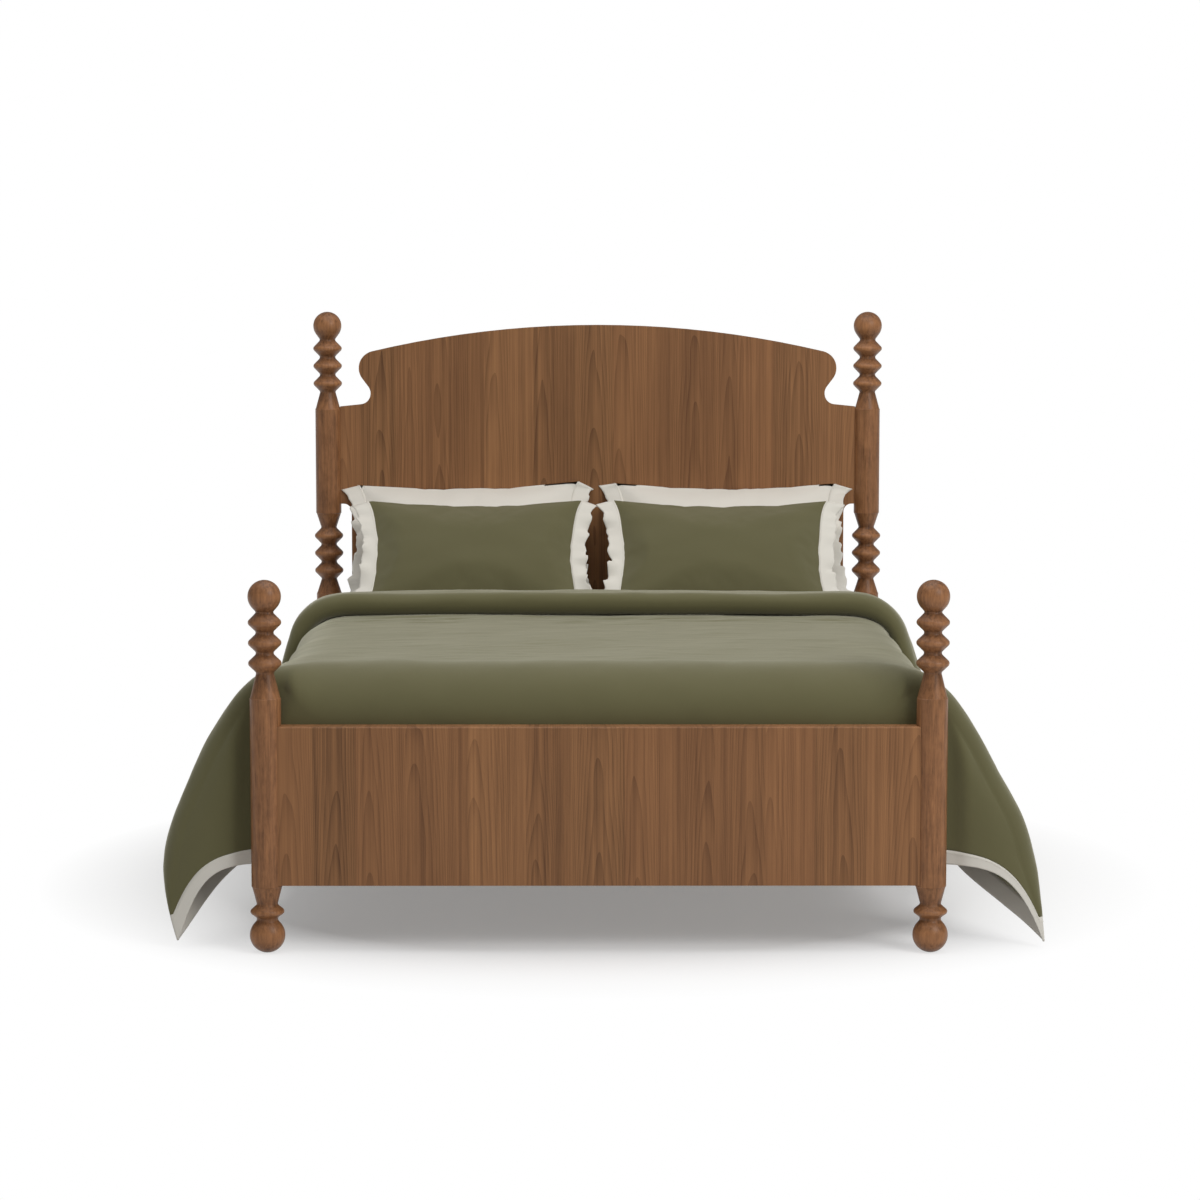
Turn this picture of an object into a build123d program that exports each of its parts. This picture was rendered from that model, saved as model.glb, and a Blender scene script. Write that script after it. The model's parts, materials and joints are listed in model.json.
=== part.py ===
# Queen panel bed with turned posts, made up with a mattress, four pillows and a duvet.
# Millimetres, +Z up, foot of the bed towards -Y, origin on the floor under the middle of the frame.
import os
from math import acos, atan2, cos, pi, radians, sin, sqrt

from build123d import *

os.makedirs("parts", exist_ok=True)

# Overall layout: the frame stands round the mattress
mattress_width = 1524.0
mattress_length = 2032.0
mattress_side_gap = 10.0
mattress_head_gap = 3.0
mattress_foot_gap = 22.0

# Posts: plain turned cylinders with a small chamfer that leaves a shadow line at each seam
post_radius = 37.5
seam_chamfer = 1.5
tenon_radius = 12.5
tenon_length = 40.0
tenon_play = 0.1
mortise_extra = 2.0
foot_height = 160.0
front_leg_length = 459.5
rear_leg_length = 491.8
rear_spindle_length = 237.4
rear_post_length = 311.7

# Ball feet
foot_ball_radius = 42.75
foot_ball_height = 42.0
foot_neck_radius = 25.6
foot_neck_height = 80.8
foot_neck_round = 8.0
foot_ring_radius = 40.8
foot_ring_height = 99.7
foot_ring_round = 7.0
foot_collar_height = 119.3
foot_collar_round = 7.0

# Beads of the turnings: rounded diamonds at a steady pitch
bead_count = 3
bead_round = 9.0
neck_round = 7.0
front_bead_radius = 40.0
front_bead_pitch = 49.2
front_neck_radius = 21.6
front_cone_length = 58.5
front_ball_radius = 40.0
front_ball_rise = 37.7
front_ball_neck_round = 5.0
rear_bead_radius = 42.1
rear_bead_pitch = 51.8
rear_neck_radius = 23.1
rear_finial_cone_length = 48.0
rear_ball_radius = 41.5
rear_ball_rise = 41.0
rear_ball_neck_round = 6.5

# Footboard
footboard_thickness = 48.0
footboard_bottom = 166.0
footboard_top = 551.7
footboard_edge_round = 3.0
footboard_tongue_thickness = 22.0
footboard_tongue_depth = 20.0

# Headboard: an arched top with a scroll at each shoulder, and ears that reach the posts.
# Insets are from the axis of the post, drops are each from the point before, the first from the arch's end,
# and a window's width is its clear width beside the post.
headboard_thickness = 20.0
headboard_bottom = 250.0
headboard_crown = 1448.0
headboard_arch_radius = 2904.0
shoulder_inset = 92.6
shoulder_drop = 57.223
shoulder_round = 50.0
notch_inset = 127.1
notch_top_drop = 45.8
notch_bottom_drop = 41.5
notch_round = 33.0
ear_top_drop = 13.0
ear_underside_z = 918.0
ear_round = 23.5
window_width = 31.2
lower_ear_top_z = 623.0
headboard_tongue_thickness = 10.0
headboard_tongue_depth = 18.0
tongue_setback = 18.0
groove_play = 0.1
cope_play = 0.1

# Side rails, the ledgers on them and the slats
rail_thickness = 26.0
rail_outer_setback = 2.0
rail_bottom = 230.0
rail_height = 170.0
ledger_thickness = 25.0
ledger_height = 35.0
ledger_end_gap = 55.0
slat_count = 13
slat_width = 70.0
slat_thickness = 18.0
slat_end_gap = 2.0
slat_end_margin = 75.0
slat_top = 370.0

# Centre rail in its two hangers, with two legs and their levelling feet
centre_rail_width = 60.0
centre_rail_height = 60.0
centre_rail_end_gap = 0.3
hanger_sheet = 2.5
hanger_depth = 45.0
hanger_height = 50.0
hanger_flange = 26.0
centre_leg_places = (0.0, 520.0)
centre_leg_top_radius = 24.0
centre_leg_bottom_radius = 17.0
centre_leg_clear_height = 26.0
centre_leg_tenon_radius = 10.0
centre_leg_tenon_length = 30.0
leveller_stem_radius = 5.0
leveller_stem_play = 0.05
leveller_stem_length = 50.0
leveller_travel = 10.0
leveller_pad_radius = 19.0
leveller_pad_height = 8.0
leveller_pad_chamfer = 2.6
leveller_hex_across = 16.0
leveller_hex_height = 6.0

# Steel corner plates, which pass each post on a diagonal, and the bolts of plates and hangers
bracket_sheet = 3.0
bracket_cut = 36.0
bracket_flange = 32.0
bracket_bottom = 236.0
bracket_height = 76.0
bolt_head_across = 13.0
bolt_head_height = 5.0
bolt_shank_radius = 3.9
bolt_hole_radius = 4.0
bolt_length = 16.0
bolt_hole_extra = 1.0

# Mattress
mattress_thickness = 270.0
mattress_corner_round = 60.0
mattress_edge_round = 40.0
mattress_underside_round = 20.0

# Pillows: reclined on each other and on the headboard
pillow_length = 405.0
pillow_thickness = 112.0
pillow_recline = 47.0
pillow_seam = 8.0
pillow_side_crown = 0.17
pillow_crown_power = 4
pillow_gap = 0.4
pillow_draw_in = 10.0
flange_width = 50.0
flange_thickness = 5.0
flange_root = 2.0
front_pillow_width = 612.0
front_pillow_place = 358.0
back_pillow_width = 648.0
back_pillow_place = 378.0

# Duvet: a thick cover, tucked in at the foot, hanging at both sides and folded over at the head.
# Overhangs are beyond the side of the mattress.
duvet_loft = 50.0
duvet_wall = 25.0
duvet_rest_gap = 0.3
duvet_front_round = 110.0
duvet_post_gap = 7.5
duvet_rail_gap = 4.0
duvet_crown = 6.0
duvet_crown_inset = 72.0
duvet_shoulder_overhang = 15.0
duvet_shoulder_drop = 38.0
duvet_shoulder_spread = 0.8
duvet_waist_height = 460.0
duvet_waist_overhang = 80.0
duvet_side_bulge = 14.0
duvet_hem_overhang = 102.0
duvet_hem_height = 205.0
duvet_wave = 16.0
duvet_wave_pitch = 390.0

# Front corners of the duvet, which stand out behind the posts and end in a tip near the floor
corner_run = 360.0
corner_shoulder_overhang = 81.0
corner_waist_overhang = 190.0
corner_full_overhang = 284.0
corner_hem_height = 200.0
corner_hem_overhang = 79.0
corner_hem_bend_height = 135.0
corner_hem_bend_setback = 66.0
tip_overhang_left = 262.0
tip_overhang_right = 322.0
tip_height = 9.0
tip_width = 4.0
tip_fall_power = 1.5
hem_cut_run = 120.0

# Foot of the duvet between the mattress and the footboard
tuck_gap = 1.0
tuck_bottom = 430.0
tuck_inset = 27.0
tuck_drop = 15.0
tuck_round = 18.0

# Turndown: the folded band across the head end of the duvet
turndown_front = 85.0
turndown_back = 560.0
turndown_loft = 60.0
turndown_spread = 38.0
turndown_round = 24.0
turndown_lap = 10.0
room_depth = 70.0

# Stations of the lofts, and what a cut or a joined piece overruns its edge by
cover_stations = 18
turndown_stations = 6
pillow_stations = (-1.0, -0.8, -0.4, 0.0, 0.4, 0.8, 1.0)
overrun = 1.0

# Derived places
board_allowance = (footboard_thickness + headboard_thickness) / 2
post_spacing_x = mattress_width + 2 * (mattress_side_gap + rail_thickness + rail_outer_setback)
post_spacing_y = mattress_length + mattress_foot_gap + mattress_head_gap + board_allowance
post_x = post_spacing_x / 2
post_y = post_spacing_y / 2
front_leg_top = foot_height + front_leg_length
rear_leg_top = foot_height + rear_leg_length
rear_post_bottom = rear_leg_top + rear_spindle_length
rear_post_top = rear_post_bottom + rear_post_length
seam_radius = post_radius - seam_chamfer
shoulder_half_width = post_x - shoulder_inset
notch_half_width = post_x - notch_inset
window_half_width = post_x - post_radius - window_width
arch_centre_z = headboard_crown - headboard_arch_radius
shoulder_top_z = arch_centre_z + sqrt(headboard_arch_radius**2 - shoulder_half_width**2)
shoulder_corner_z = shoulder_top_z - shoulder_drop
notch_top_z = shoulder_corner_z - notch_top_drop
notch_bottom_z = notch_top_z - notch_bottom_drop
ear_top_z = notch_bottom_z - ear_top_drop
foot_face = -post_y + footboard_thickness / 2
head_face = post_y - headboard_thickness / 2
rail_outer = post_x - rail_outer_setback
rail_inner = rail_outer - rail_thickness
rail_top = rail_bottom + rail_height
slat_bottom = slat_top - slat_thickness
ledger_bottom = slat_bottom - ledger_height
centre_rail_bottom = slat_bottom - centre_rail_height
hanger_bottom = centre_rail_bottom - hanger_sheet
mattress_top = slat_top + mattress_thickness
mattress_back = head_face - mattress_head_gap
mattress_front = mattress_back - mattress_length
mattress_half_width = mattress_width / 2
duvet_crown_half_width = mattress_half_width - duvet_crown_inset
duvet_shoulder_reach = mattress_half_width + duvet_shoulder_overhang
duvet_waist_reach = mattress_half_width + duvet_waist_overhang
duvet_hem_reach = mattress_half_width + duvet_hem_overhang
corner_shoulder_reach = mattress_half_width + corner_shoulder_overhang
corner_waist_reach = mattress_half_width + corner_waist_overhang
corner_full_reach = mattress_half_width + corner_full_overhang
corner_hem_reach = mattress_half_width + corner_hem_overhang
tip_reach_left = mattress_half_width + tip_overhang_left
tip_reach_right = mattress_half_width + tip_overhang_right
tuck_half_width = mattress_half_width - tuck_inset
sides = {"left": -1, "right": 1}


def save(piece, name):
    """Label a finished piece and write it under its own name."""
    piece.label = name
    export_step(piece, f"parts/{name}.step")


def tangent_points(rounds):
    """Ends of the straight flanks between a string of rounds, each (radius, z, round).

    A round is positive on a bead, negative in a neck and zero at a sharp corner.
    """
    centres = [(radius - turn, z) for radius, z, turn in rounds]
    flanks = []
    for (here, there), (first, second) in zip(zip(centres, centres[1:]), zip(rounds, rounds[1:])):
        across = there[0] - here[0]
        along = there[1] - here[1]
        spread = acos((second[2] - first[2]) / sqrt(across**2 + along**2))
        normal = atan2(along, across) + spread
        start = (here[0] - first[2] * cos(normal), here[1] - first[2] * sin(normal))
        end = (there[0] - second[2] * cos(normal), there[1] - second[2] * sin(normal))
        flanks.append((start, end))
    return flanks


def turning_plane(x, y):
    """Plane through a turning's axis: radius to the right, height upwards."""
    return Plane(origin=(x, y, 0), x_dir=(1, 0, 0), z_dir=(0, -1, 0))


def string_of_beads(base_z, cone, bead_radius, pitch, neck_radius):
    """Rounds from a seam up past its cone to the neck above the last bead."""
    rounds = [(seam_radius, base_z, 0.0)]
    for index in range(bead_count):
        neck_z = base_z + cone + index * pitch
        rounds.append((neck_radius, neck_z, -neck_round))
        rounds.append((bead_radius, neck_z + pitch / 2, bead_round))
    return rounds


def draw_rounds(rounds):
    """Draw the flanks and the arcs between them, from the first corner to the last flank."""
    flanks = tangent_points(rounds)
    for index, (start, end) in enumerate(flanks):
        Line(start, end)
        if index + 1 < len(flanks):
            radius, z, _ = rounds[index + 1]
            ThreePointArc(end, (radius, z), flanks[index + 1][0])
    return flanks[-1][1]


def make_finial(x, y, base_z, beads, ball_radius, ball_rise, ball_neck_round):
    """Cone, three beads and a ball, on a tenon that enters the post below."""
    cone, bead_radius, pitch, neck_radius = beads
    last_neck_z = base_z + cone + bead_count * pitch
    ball_z = last_neck_z + ball_rise
    rounds = string_of_beads(base_z, *beads)
    rounds.append((neck_radius, last_neck_z, -ball_neck_round))
    rounds.append((ball_radius, ball_z, ball_radius))
    with BuildPart() as finial:
        with BuildSketch(turning_plane(x, y)):
            with BuildLine():
                last = draw_rounds(rounds)
                ThreePointArc(last, (ball_radius, ball_z), (0, ball_z + ball_radius))
                Polyline(
                    (0, ball_z + ball_radius),
                    (0, base_z - tenon_length),
                    (tenon_radius, base_z - tenon_length),
                    (tenon_radius, base_z),
                    (seam_radius, base_z),
                )
            make_face()
        revolve(axis=Axis((x, y, 0), (0, 0, 1)))
    return finial.part


def make_foot(x, y):
    """Ball foot with a flat under it, a ring and a flare up to the post, and a tenon on top."""
    ball_flat = sqrt(foot_ball_radius**2 - foot_ball_height**2)
    rounds = [
        (foot_ball_radius, foot_ball_height, foot_ball_radius),
        (foot_neck_radius, foot_neck_height, -foot_neck_round),
        (foot_ring_radius, foot_ring_height, foot_ring_round),
        (foot_neck_radius, foot_collar_height, -foot_collar_round),
        (seam_radius, foot_height, 0.0),
    ]
    with BuildPart() as foot:
        with BuildSketch(turning_plane(x, y)):
            with BuildLine():
                draw_rounds(rounds)
                ThreePointArc(
                    (ball_flat, 0),
                    (foot_ball_radius, foot_ball_height),
                    tangent_points(rounds)[0][0],
                )
                Polyline(
                    (seam_radius, foot_height),
                    (tenon_radius, foot_height),
                    (tenon_radius, foot_height + tenon_length),
                    (0, foot_height + tenon_length),
                    (0, 0),
                    (ball_flat, 0),
                )
            make_face()
        revolve(axis=Axis((x, y, 0), (0, 0, 1)))
    return foot.part


def make_spindle(x, y):
    """Beaded length between the rear leg and the rear post, with a tenon at each end."""
    bead_run = bead_count * rear_bead_pitch
    cone = (rear_spindle_length - bead_run) / 2
    rounds = string_of_beads(rear_leg_top, cone, rear_bead_radius, rear_bead_pitch, rear_neck_radius)
    rounds.append((rear_neck_radius, rear_leg_top + cone + bead_run, -neck_round))
    rounds.append((seam_radius, rear_post_bottom, 0.0))
    with BuildPart() as spindle:
        with BuildSketch(turning_plane(x, y)):
            with BuildLine():
                draw_rounds(rounds)
                Polyline(
                    (seam_radius, rear_post_bottom),
                    (tenon_radius, rear_post_bottom),
                    (tenon_radius, rear_post_bottom + tenon_length),
                    (0, rear_post_bottom + tenon_length),
                    (0, rear_leg_top - tenon_length),
                    (tenon_radius, rear_leg_top - tenon_length),
                    (tenon_radius, rear_leg_top),
                    (seam_radius, rear_leg_top),
                )
            make_face()
        revolve(axis=Axis((x, y, 0), (0, 0, 1)))
    return spindle.part


def make_post(x, y, bottom, top, groove_thickness, groove_depth, groove_bottom, groove_top):
    """Plain cylinder, bored at both ends, with a blind groove for the panel's tongue."""
    inward = -1 if x > 0 else 1
    groove_x = x + inward * (post_radius - groove_depth / 2)
    with BuildPart() as post:
        with BuildSketch(Plane.XY.offset(bottom)):
            with Locations((x, y)):
                Circle(post_radius)
        extrude(amount=top - bottom)
        chamfer(post.edges().filter_by(GeomType.CIRCLE), seam_chamfer)
        with BuildSketch(Plane.XY.offset(bottom), Plane.XY.offset(top - tenon_length - mortise_extra)):
            with Locations((x, y)):
                Circle(tenon_radius + tenon_play)
        extrude(amount=tenon_length + mortise_extra, mode=Mode.SUBTRACT)
        with BuildSketch(Plane.XY.offset(groove_bottom)):
            with Locations((groove_x, y)):
                Rectangle(groove_depth + 2 * groove_play, groove_thickness + 2 * groove_play)
        extrude(amount=groove_top - groove_bottom, mode=Mode.SUBTRACT)
    return post.part


# Posts, four of each turned piece
front_beads = (front_cone_length, front_bead_radius, front_bead_pitch, front_neck_radius)
front_ball = (front_ball_radius, front_ball_rise, front_ball_neck_round)
rear_beads = (rear_finial_cone_length, rear_bead_radius, rear_bead_pitch, rear_neck_radius)
rear_ball = (rear_ball_radius, rear_ball_rise, rear_ball_neck_round)
footboard_groove = (
    footboard_tongue_thickness,
    footboard_tongue_depth,
    footboard_bottom + tongue_setback - groove_play,
    footboard_top - tongue_setback + groove_play,
)
upper_groove = (
    headboard_tongue_thickness,
    headboard_tongue_depth,
    ear_underside_z + tongue_setback - groove_play,
    ear_top_z - tongue_setback + groove_play,
)
lower_groove = (
    headboard_tongue_thickness,
    headboard_tongue_depth,
    headboard_bottom + tongue_setback - groove_play,
    lower_ear_top_z - tongue_setback + groove_play,
)
for side, sign in sides.items():
    x = sign * post_x
    save(make_foot(x, -post_y), f"front_foot_{side}")
    save(make_post(x, -post_y, foot_height, front_leg_top, *footboard_groove), f"front_leg_{side}")
    save(make_finial(x, -post_y, front_leg_top, front_beads, *front_ball), f"front_finial_{side}")
    save(make_foot(x, post_y), f"rear_foot_{side}")
    save(make_post(x, post_y, foot_height, rear_leg_top, *lower_groove), f"rear_leg_{side}")
    save(make_spindle(x, post_y), f"rear_spindle_{side}")
    save(make_post(x, post_y, rear_post_bottom, rear_post_top, *upper_groove), f"rear_post_{side}")
    save(make_finial(x, post_y, rear_post_top, rear_beads, *rear_ball), f"rear_finial_{side}")

# Bolt places: planes on the steel, facing out of the wood
bolt_inset = bracket_cut + bracket_flange / 2
bolt_heights = (bracket_bottom + bracket_height / 4, bracket_bottom + bracket_height * 3 / 4)
hanger_bolt_x = centre_rail_width / 2 + hanger_sheet + hanger_flange / 2
hanger_bolt_z = hanger_bottom + hanger_height / 2
rail_bolts = {}
foot_bolts = []
head_bolts = []
for side, sign in sides.items():
    rail_bolts[side] = []
    for height in bolt_heights:
        for y in (foot_face + bolt_inset, head_face - bolt_inset):
            place = (sign * (rail_inner - bracket_sheet), y, height)
            rail_bolts[side].append(Plane(origin=place, z_dir=(-sign, 0, 0)))
        panel_x = sign * (rail_inner - bolt_inset)
        foot_bolts.append(Plane(origin=(panel_x, foot_face + bracket_sheet, height), z_dir=(0, 1, 0)))
        head_bolts.append(Plane(origin=(panel_x, head_face - bracket_sheet, height), z_dir=(0, -1, 0)))
    hanger_x = sign * hanger_bolt_x
    foot_bolts.append(Plane(origin=(hanger_x, foot_face + hanger_sheet, hanger_bolt_z), z_dir=(0, 1, 0)))
    head_bolts.append(Plane(origin=(hanger_x, head_face - hanger_sheet, hanger_bolt_z), z_dir=(0, -1, 0)))
bolt_hole_depth = bolt_length + bolt_hole_extra

# Footboard: a thick panel, coped to the round legs, with a tongue at each end
with BuildPart() as footboard_panel:
    with BuildSketch(Plane.XY.offset(footboard_bottom)):
        with Locations((0, -post_y)):
            Rectangle(post_spacing_x, footboard_thickness)
        with Locations((-post_x, -post_y), (post_x, -post_y)):
            Circle(post_radius + cope_play, mode=Mode.SUBTRACT)
    extrude(amount=footboard_top - footboard_bottom)
    chamfer(
        footboard_panel.faces().sort_by(Axis.Z)[-1].edges().filter_by(Axis.X),
        footboard_edge_round,
    )
    with BuildSketch(Plane.XY.offset(footboard_bottom + tongue_setback)):
        with Locations((0, -post_y)):
            tongue_reach = post_spacing_x - 2 * (post_radius - footboard_tongue_depth)
            Rectangle(tongue_reach, footboard_tongue_thickness)
    extrude(amount=footboard_top - footboard_bottom - 2 * tongue_setback)
    with Locations(*foot_bolts):
        Hole(bolt_hole_radius, depth=bolt_hole_depth)
save(footboard_panel.part, "footboard_panel")

# Headboard: half outline from the crown down to the bottom edge, mirrored, then coped to the posts
arch_mid_x = shoulder_half_width / 2
arch_mid_z = arch_centre_z + sqrt(headboard_arch_radius**2 - arch_mid_x**2)
arch_end = (shoulder_half_width, shoulder_top_z)
with BuildPart() as headboard_panel:
    with BuildSketch(Plane.XZ.offset(-head_face)) as headboard_outline:
        with BuildLine():
            ThreePointArc((0, headboard_crown), (arch_mid_x, arch_mid_z), arch_end)
            Polyline(
                arch_end,
                (shoulder_half_width, shoulder_corner_z),
                (notch_half_width, notch_top_z),
                (notch_half_width, notch_bottom_z),
                (post_x, ear_top_z),
                (post_x, ear_underside_z),
                (window_half_width, ear_underside_z),
                (window_half_width, lower_ear_top_z),
                (post_x, lower_ear_top_z),
                (post_x, headboard_bottom),
                (0, headboard_bottom),
                (0, headboard_crown),
            )
        make_face()
        corners = headboard_outline.vertices()
        fillet(
            [
                corners.sort_by_distance(arch_end)[0],
                corners.sort_by_distance((shoulder_half_width, shoulder_corner_z))[0],
            ],
            shoulder_round,
        )
        corners = headboard_outline.vertices()
        fillet(
            [
                corners.sort_by_distance((notch_half_width, notch_top_z))[0],
                corners.sort_by_distance((notch_half_width, notch_bottom_z))[0],
            ],
            notch_round,
        )
        corners = headboard_outline.vertices()
        fillet(
            [
                corners.sort_by_distance((window_half_width, ear_underside_z))[0],
                corners.sort_by_distance((window_half_width, lower_ear_top_z))[0],
            ],
            ear_round,
        )
        mirror(about=Plane.YZ)
    extrude(amount=-headboard_thickness)
    with BuildSketch(Plane.XY.offset(headboard_bottom)):
        with Locations((-post_x, post_y), (post_x, post_y)):
            Circle(post_radius + cope_play)
    extrude(amount=headboard_crown - headboard_bottom, mode=Mode.SUBTRACT)
    tongue_start = window_half_width + headboard_tongue_depth
    tongue_end = post_x - post_radius + headboard_tongue_depth
    tongue_x = (tongue_start + tongue_end) / 2
    for low, high in ((ear_underside_z, ear_top_z), (headboard_bottom, lower_ear_top_z)):
        with BuildSketch(Plane.XY.offset(low + tongue_setback)):
            with Locations((-tongue_x, post_y), (tongue_x, post_y)):
                Rectangle(tongue_end - tongue_start, headboard_tongue_thickness)
        extrude(amount=high - low - 2 * tongue_setback)
    with Locations(*head_bolts):
        Hole(bolt_hole_radius, depth=bolt_hole_depth)
save(headboard_panel.part, "headboard_panel")

# Side rails, coped to the posts, and the ledgers on their inner faces
for side, sign in sides.items():
    with BuildPart() as side_rail:
        with BuildSketch(Plane.XY.offset(rail_bottom)):
            with Locations((sign * (rail_outer + rail_inner) / 2, 0)):
                Rectangle(rail_thickness, post_spacing_y)
            with Locations((sign * post_x, -post_y), (sign * post_x, post_y)):
                Circle(post_radius + cope_play, mode=Mode.SUBTRACT)
        extrude(amount=rail_height)
        with Locations(*rail_bolts[side]):
            Hole(bolt_hole_radius, depth=bolt_hole_depth)
    save(side_rail.part, f"side_rail_{side}")

    with BuildPart() as slat_ledger:
        ledger_length = head_face - foot_face - 2 * ledger_end_gap
        with BuildSketch(Plane.XY.offset(ledger_bottom)):
            with Locations((sign * (rail_inner - ledger_thickness / 2), (head_face + foot_face) / 2)):
                Rectangle(ledger_thickness, ledger_length)
        extrude(amount=ledger_height)
    save(slat_ledger.part, f"slat_ledger_{side}")

# Slats, at an even pitch on the ledgers and the centre rail
slat_first = foot_face + slat_end_margin
slat_pitch = (head_face - foot_face - 2 * slat_end_margin) / (slat_count - 1)
for index in range(slat_count):
    with BuildPart() as slat:
        with BuildSketch(Plane.XY.offset(slat_bottom)):
            with Locations((0, slat_first + index * slat_pitch)):
                Rectangle(2 * (rail_inner - slat_end_gap), slat_width)
        extrude(amount=slat_thickness)
    save(slat.part, f"slat_{index + 1:02d}")

# Centre rail with sockets for the tenons of its legs
with BuildPart() as centre_rail:
    with BuildSketch(Plane.XY.offset(centre_rail_bottom)):
        with Locations((0, (head_face + foot_face) / 2)):
            Rectangle(centre_rail_width, head_face - foot_face - 2 * centre_rail_end_gap)
    extrude(amount=centre_rail_height)
    with BuildSketch(Plane.XY.offset(centre_rail_bottom)):
        with Locations(*[(0, place) for place in centre_leg_places]):
            Circle(centre_leg_tenon_radius + tenon_play)
    extrude(amount=centre_leg_tenon_length + mortise_extra, mode=Mode.SUBTRACT)
save(centre_rail.part, "centre_rail")

# Hangers: a folded steel stirrup with a flange on each side, at the foot and at the head
hanger_outer = centre_rail_width / 2 + hanger_sheet
for end, face, inward in (("foot", foot_face, 1), ("head", head_face, -1)):
    with BuildPart() as hanger:
        with BuildSketch(Plane.XY.offset(hanger_bottom)):
            with Locations((0, face + inward * hanger_depth / 2)):
                Rectangle(2 * hanger_outer, hanger_depth)
            with Locations((0, face + inward * hanger_sheet / 2)):
                Rectangle(2 * (hanger_outer + hanger_flange), hanger_sheet)
        extrude(amount=hanger_height)
        with BuildSketch(Plane.XY.offset(centre_rail_bottom)):
            with Locations((0, face)):
                Rectangle(centre_rail_width, 2 * (hanger_depth + overrun))
        extrude(amount=hanger_height, mode=Mode.SUBTRACT)
        with Locations(*foot_bolts, *head_bolts):
            Hole(bolt_hole_radius, depth=2 * hanger_sheet)
    save(hanger.part, f"centre_rail_hanger_{end}")

# Corner plates: a diagonal web across the corner, with a flange on the rail and one on the panel
for side, sign in sides.items():
    for end, face, inward in (("front", foot_face, 1), ("rear", head_face, -1)):
        inner_side = Side.LEFT if sign * inward < 0 else Side.RIGHT
        with BuildPart() as corner_plate:
            with BuildSketch(Plane.XY.offset(bracket_bottom)):
                with BuildLine():
                    plate_line = Polyline(
                        (sign * rail_inner, face + inward * (bracket_cut + bracket_flange)),
                        (sign * rail_inner, face + inward * bracket_cut),
                        (sign * (rail_inner - bracket_cut), face),
                        (sign * (rail_inner - bracket_cut - bracket_flange), face),
                    )
                    offset(plate_line, amount=bracket_sheet, side=inner_side)
                make_face()
            extrude(amount=bracket_height)
            with Locations(*rail_bolts[side], *foot_bolts, *head_bolts):
                Hole(bolt_hole_radius, depth=2 * bracket_sheet)
        save(corner_plate.part, f"corner_plate_{end}_{side}")

# Bolts: hexagon heads on the plates, shanks in the wood
all_bolts = rail_bolts["left"] + rail_bolts["right"] + foot_bolts + head_bolts
with BuildPart() as bracket_bolts:
    with BuildSketch(*all_bolts):
        Circle(bolt_shank_radius)
    extrude(amount=-bolt_length)
    with BuildSketch(*all_bolts):
        RegularPolygon(bolt_head_across / 2, 6, major_radius=False)
    extrude(amount=bolt_head_height)
save(bracket_bolts.part, "bracket_bolts")

# Centre legs: tapered turnings under the centre rail, each with a levelling foot
leg_bore_depth = leveller_stem_length + leveller_travel
for name, place in zip(("middle", "head"), centre_leg_places):
    with BuildPart() as centre_leg:
        with BuildSketch(turning_plane(0, place)):
            with BuildLine():
                Polyline(
                    (leveller_stem_radius + leveller_stem_play, centre_leg_clear_height),
                    (centre_leg_bottom_radius, centre_leg_clear_height),
                    (centre_leg_top_radius, centre_rail_bottom),
                    (centre_leg_tenon_radius, centre_rail_bottom),
                    (centre_leg_tenon_radius, centre_rail_bottom + centre_leg_tenon_length),
                    (0, centre_rail_bottom + centre_leg_tenon_length),
                    (0, centre_leg_clear_height + leg_bore_depth),
                    (leveller_stem_radius + leveller_stem_play, centre_leg_clear_height + leg_bore_depth),
                    close=True,
                )
            make_face()
        revolve(axis=Axis((0, place, 0), (0, 0, 1)))
    save(centre_leg.part, f"centre_leg_{name}")

    with BuildPart() as leveller:
        with BuildSketch(Plane.XY):
            with Locations((0, place)):
                Circle(leveller_pad_radius)
        extrude(amount=leveller_pad_height)
        chamfer(leveller.edges().sort_by(Axis.Z)[-1], leveller_pad_chamfer)
        with BuildSketch(Plane.XY.offset(leveller_pad_height)):
            with Locations((0, place)):
                RegularPolygon(leveller_hex_across / 2, 6, major_radius=False)
        extrude(amount=leveller_hex_height)
        with BuildSketch(Plane.XY.offset(leveller_pad_height)):
            with Locations((0, place)):
                Circle(leveller_stem_radius)
        extrude(amount=centre_leg_clear_height - leveller_pad_height + leveller_stem_length)
    save(leveller.part, f"leveller_{name}")

# Mattress: a deep block with rounded corners and edges
with BuildPart() as mattress:
    with BuildSketch(Plane.XY.offset(slat_top)):
        with Locations((0, (mattress_front + mattress_back) / 2)):
            RectangleRounded(mattress_width, mattress_length, mattress_corner_round)
    extrude(amount=mattress_thickness)
    fillet(mattress.faces().sort_by(Axis.Z)[-1].edges(), mattress_edge_round)
    fillet(mattress.faces().sort_by(Axis.Z)[0].edges(), mattress_underside_round)
save(mattress.part, "mattress")


# Pillows: each lies on a plane that leans back, x across the bed and y up the slope
recline = radians(pillow_recline)
slope = Vector(0, cos(recline), sin(recline))
pillow_normal = Vector(0, -sin(recline), cos(recline))


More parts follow.
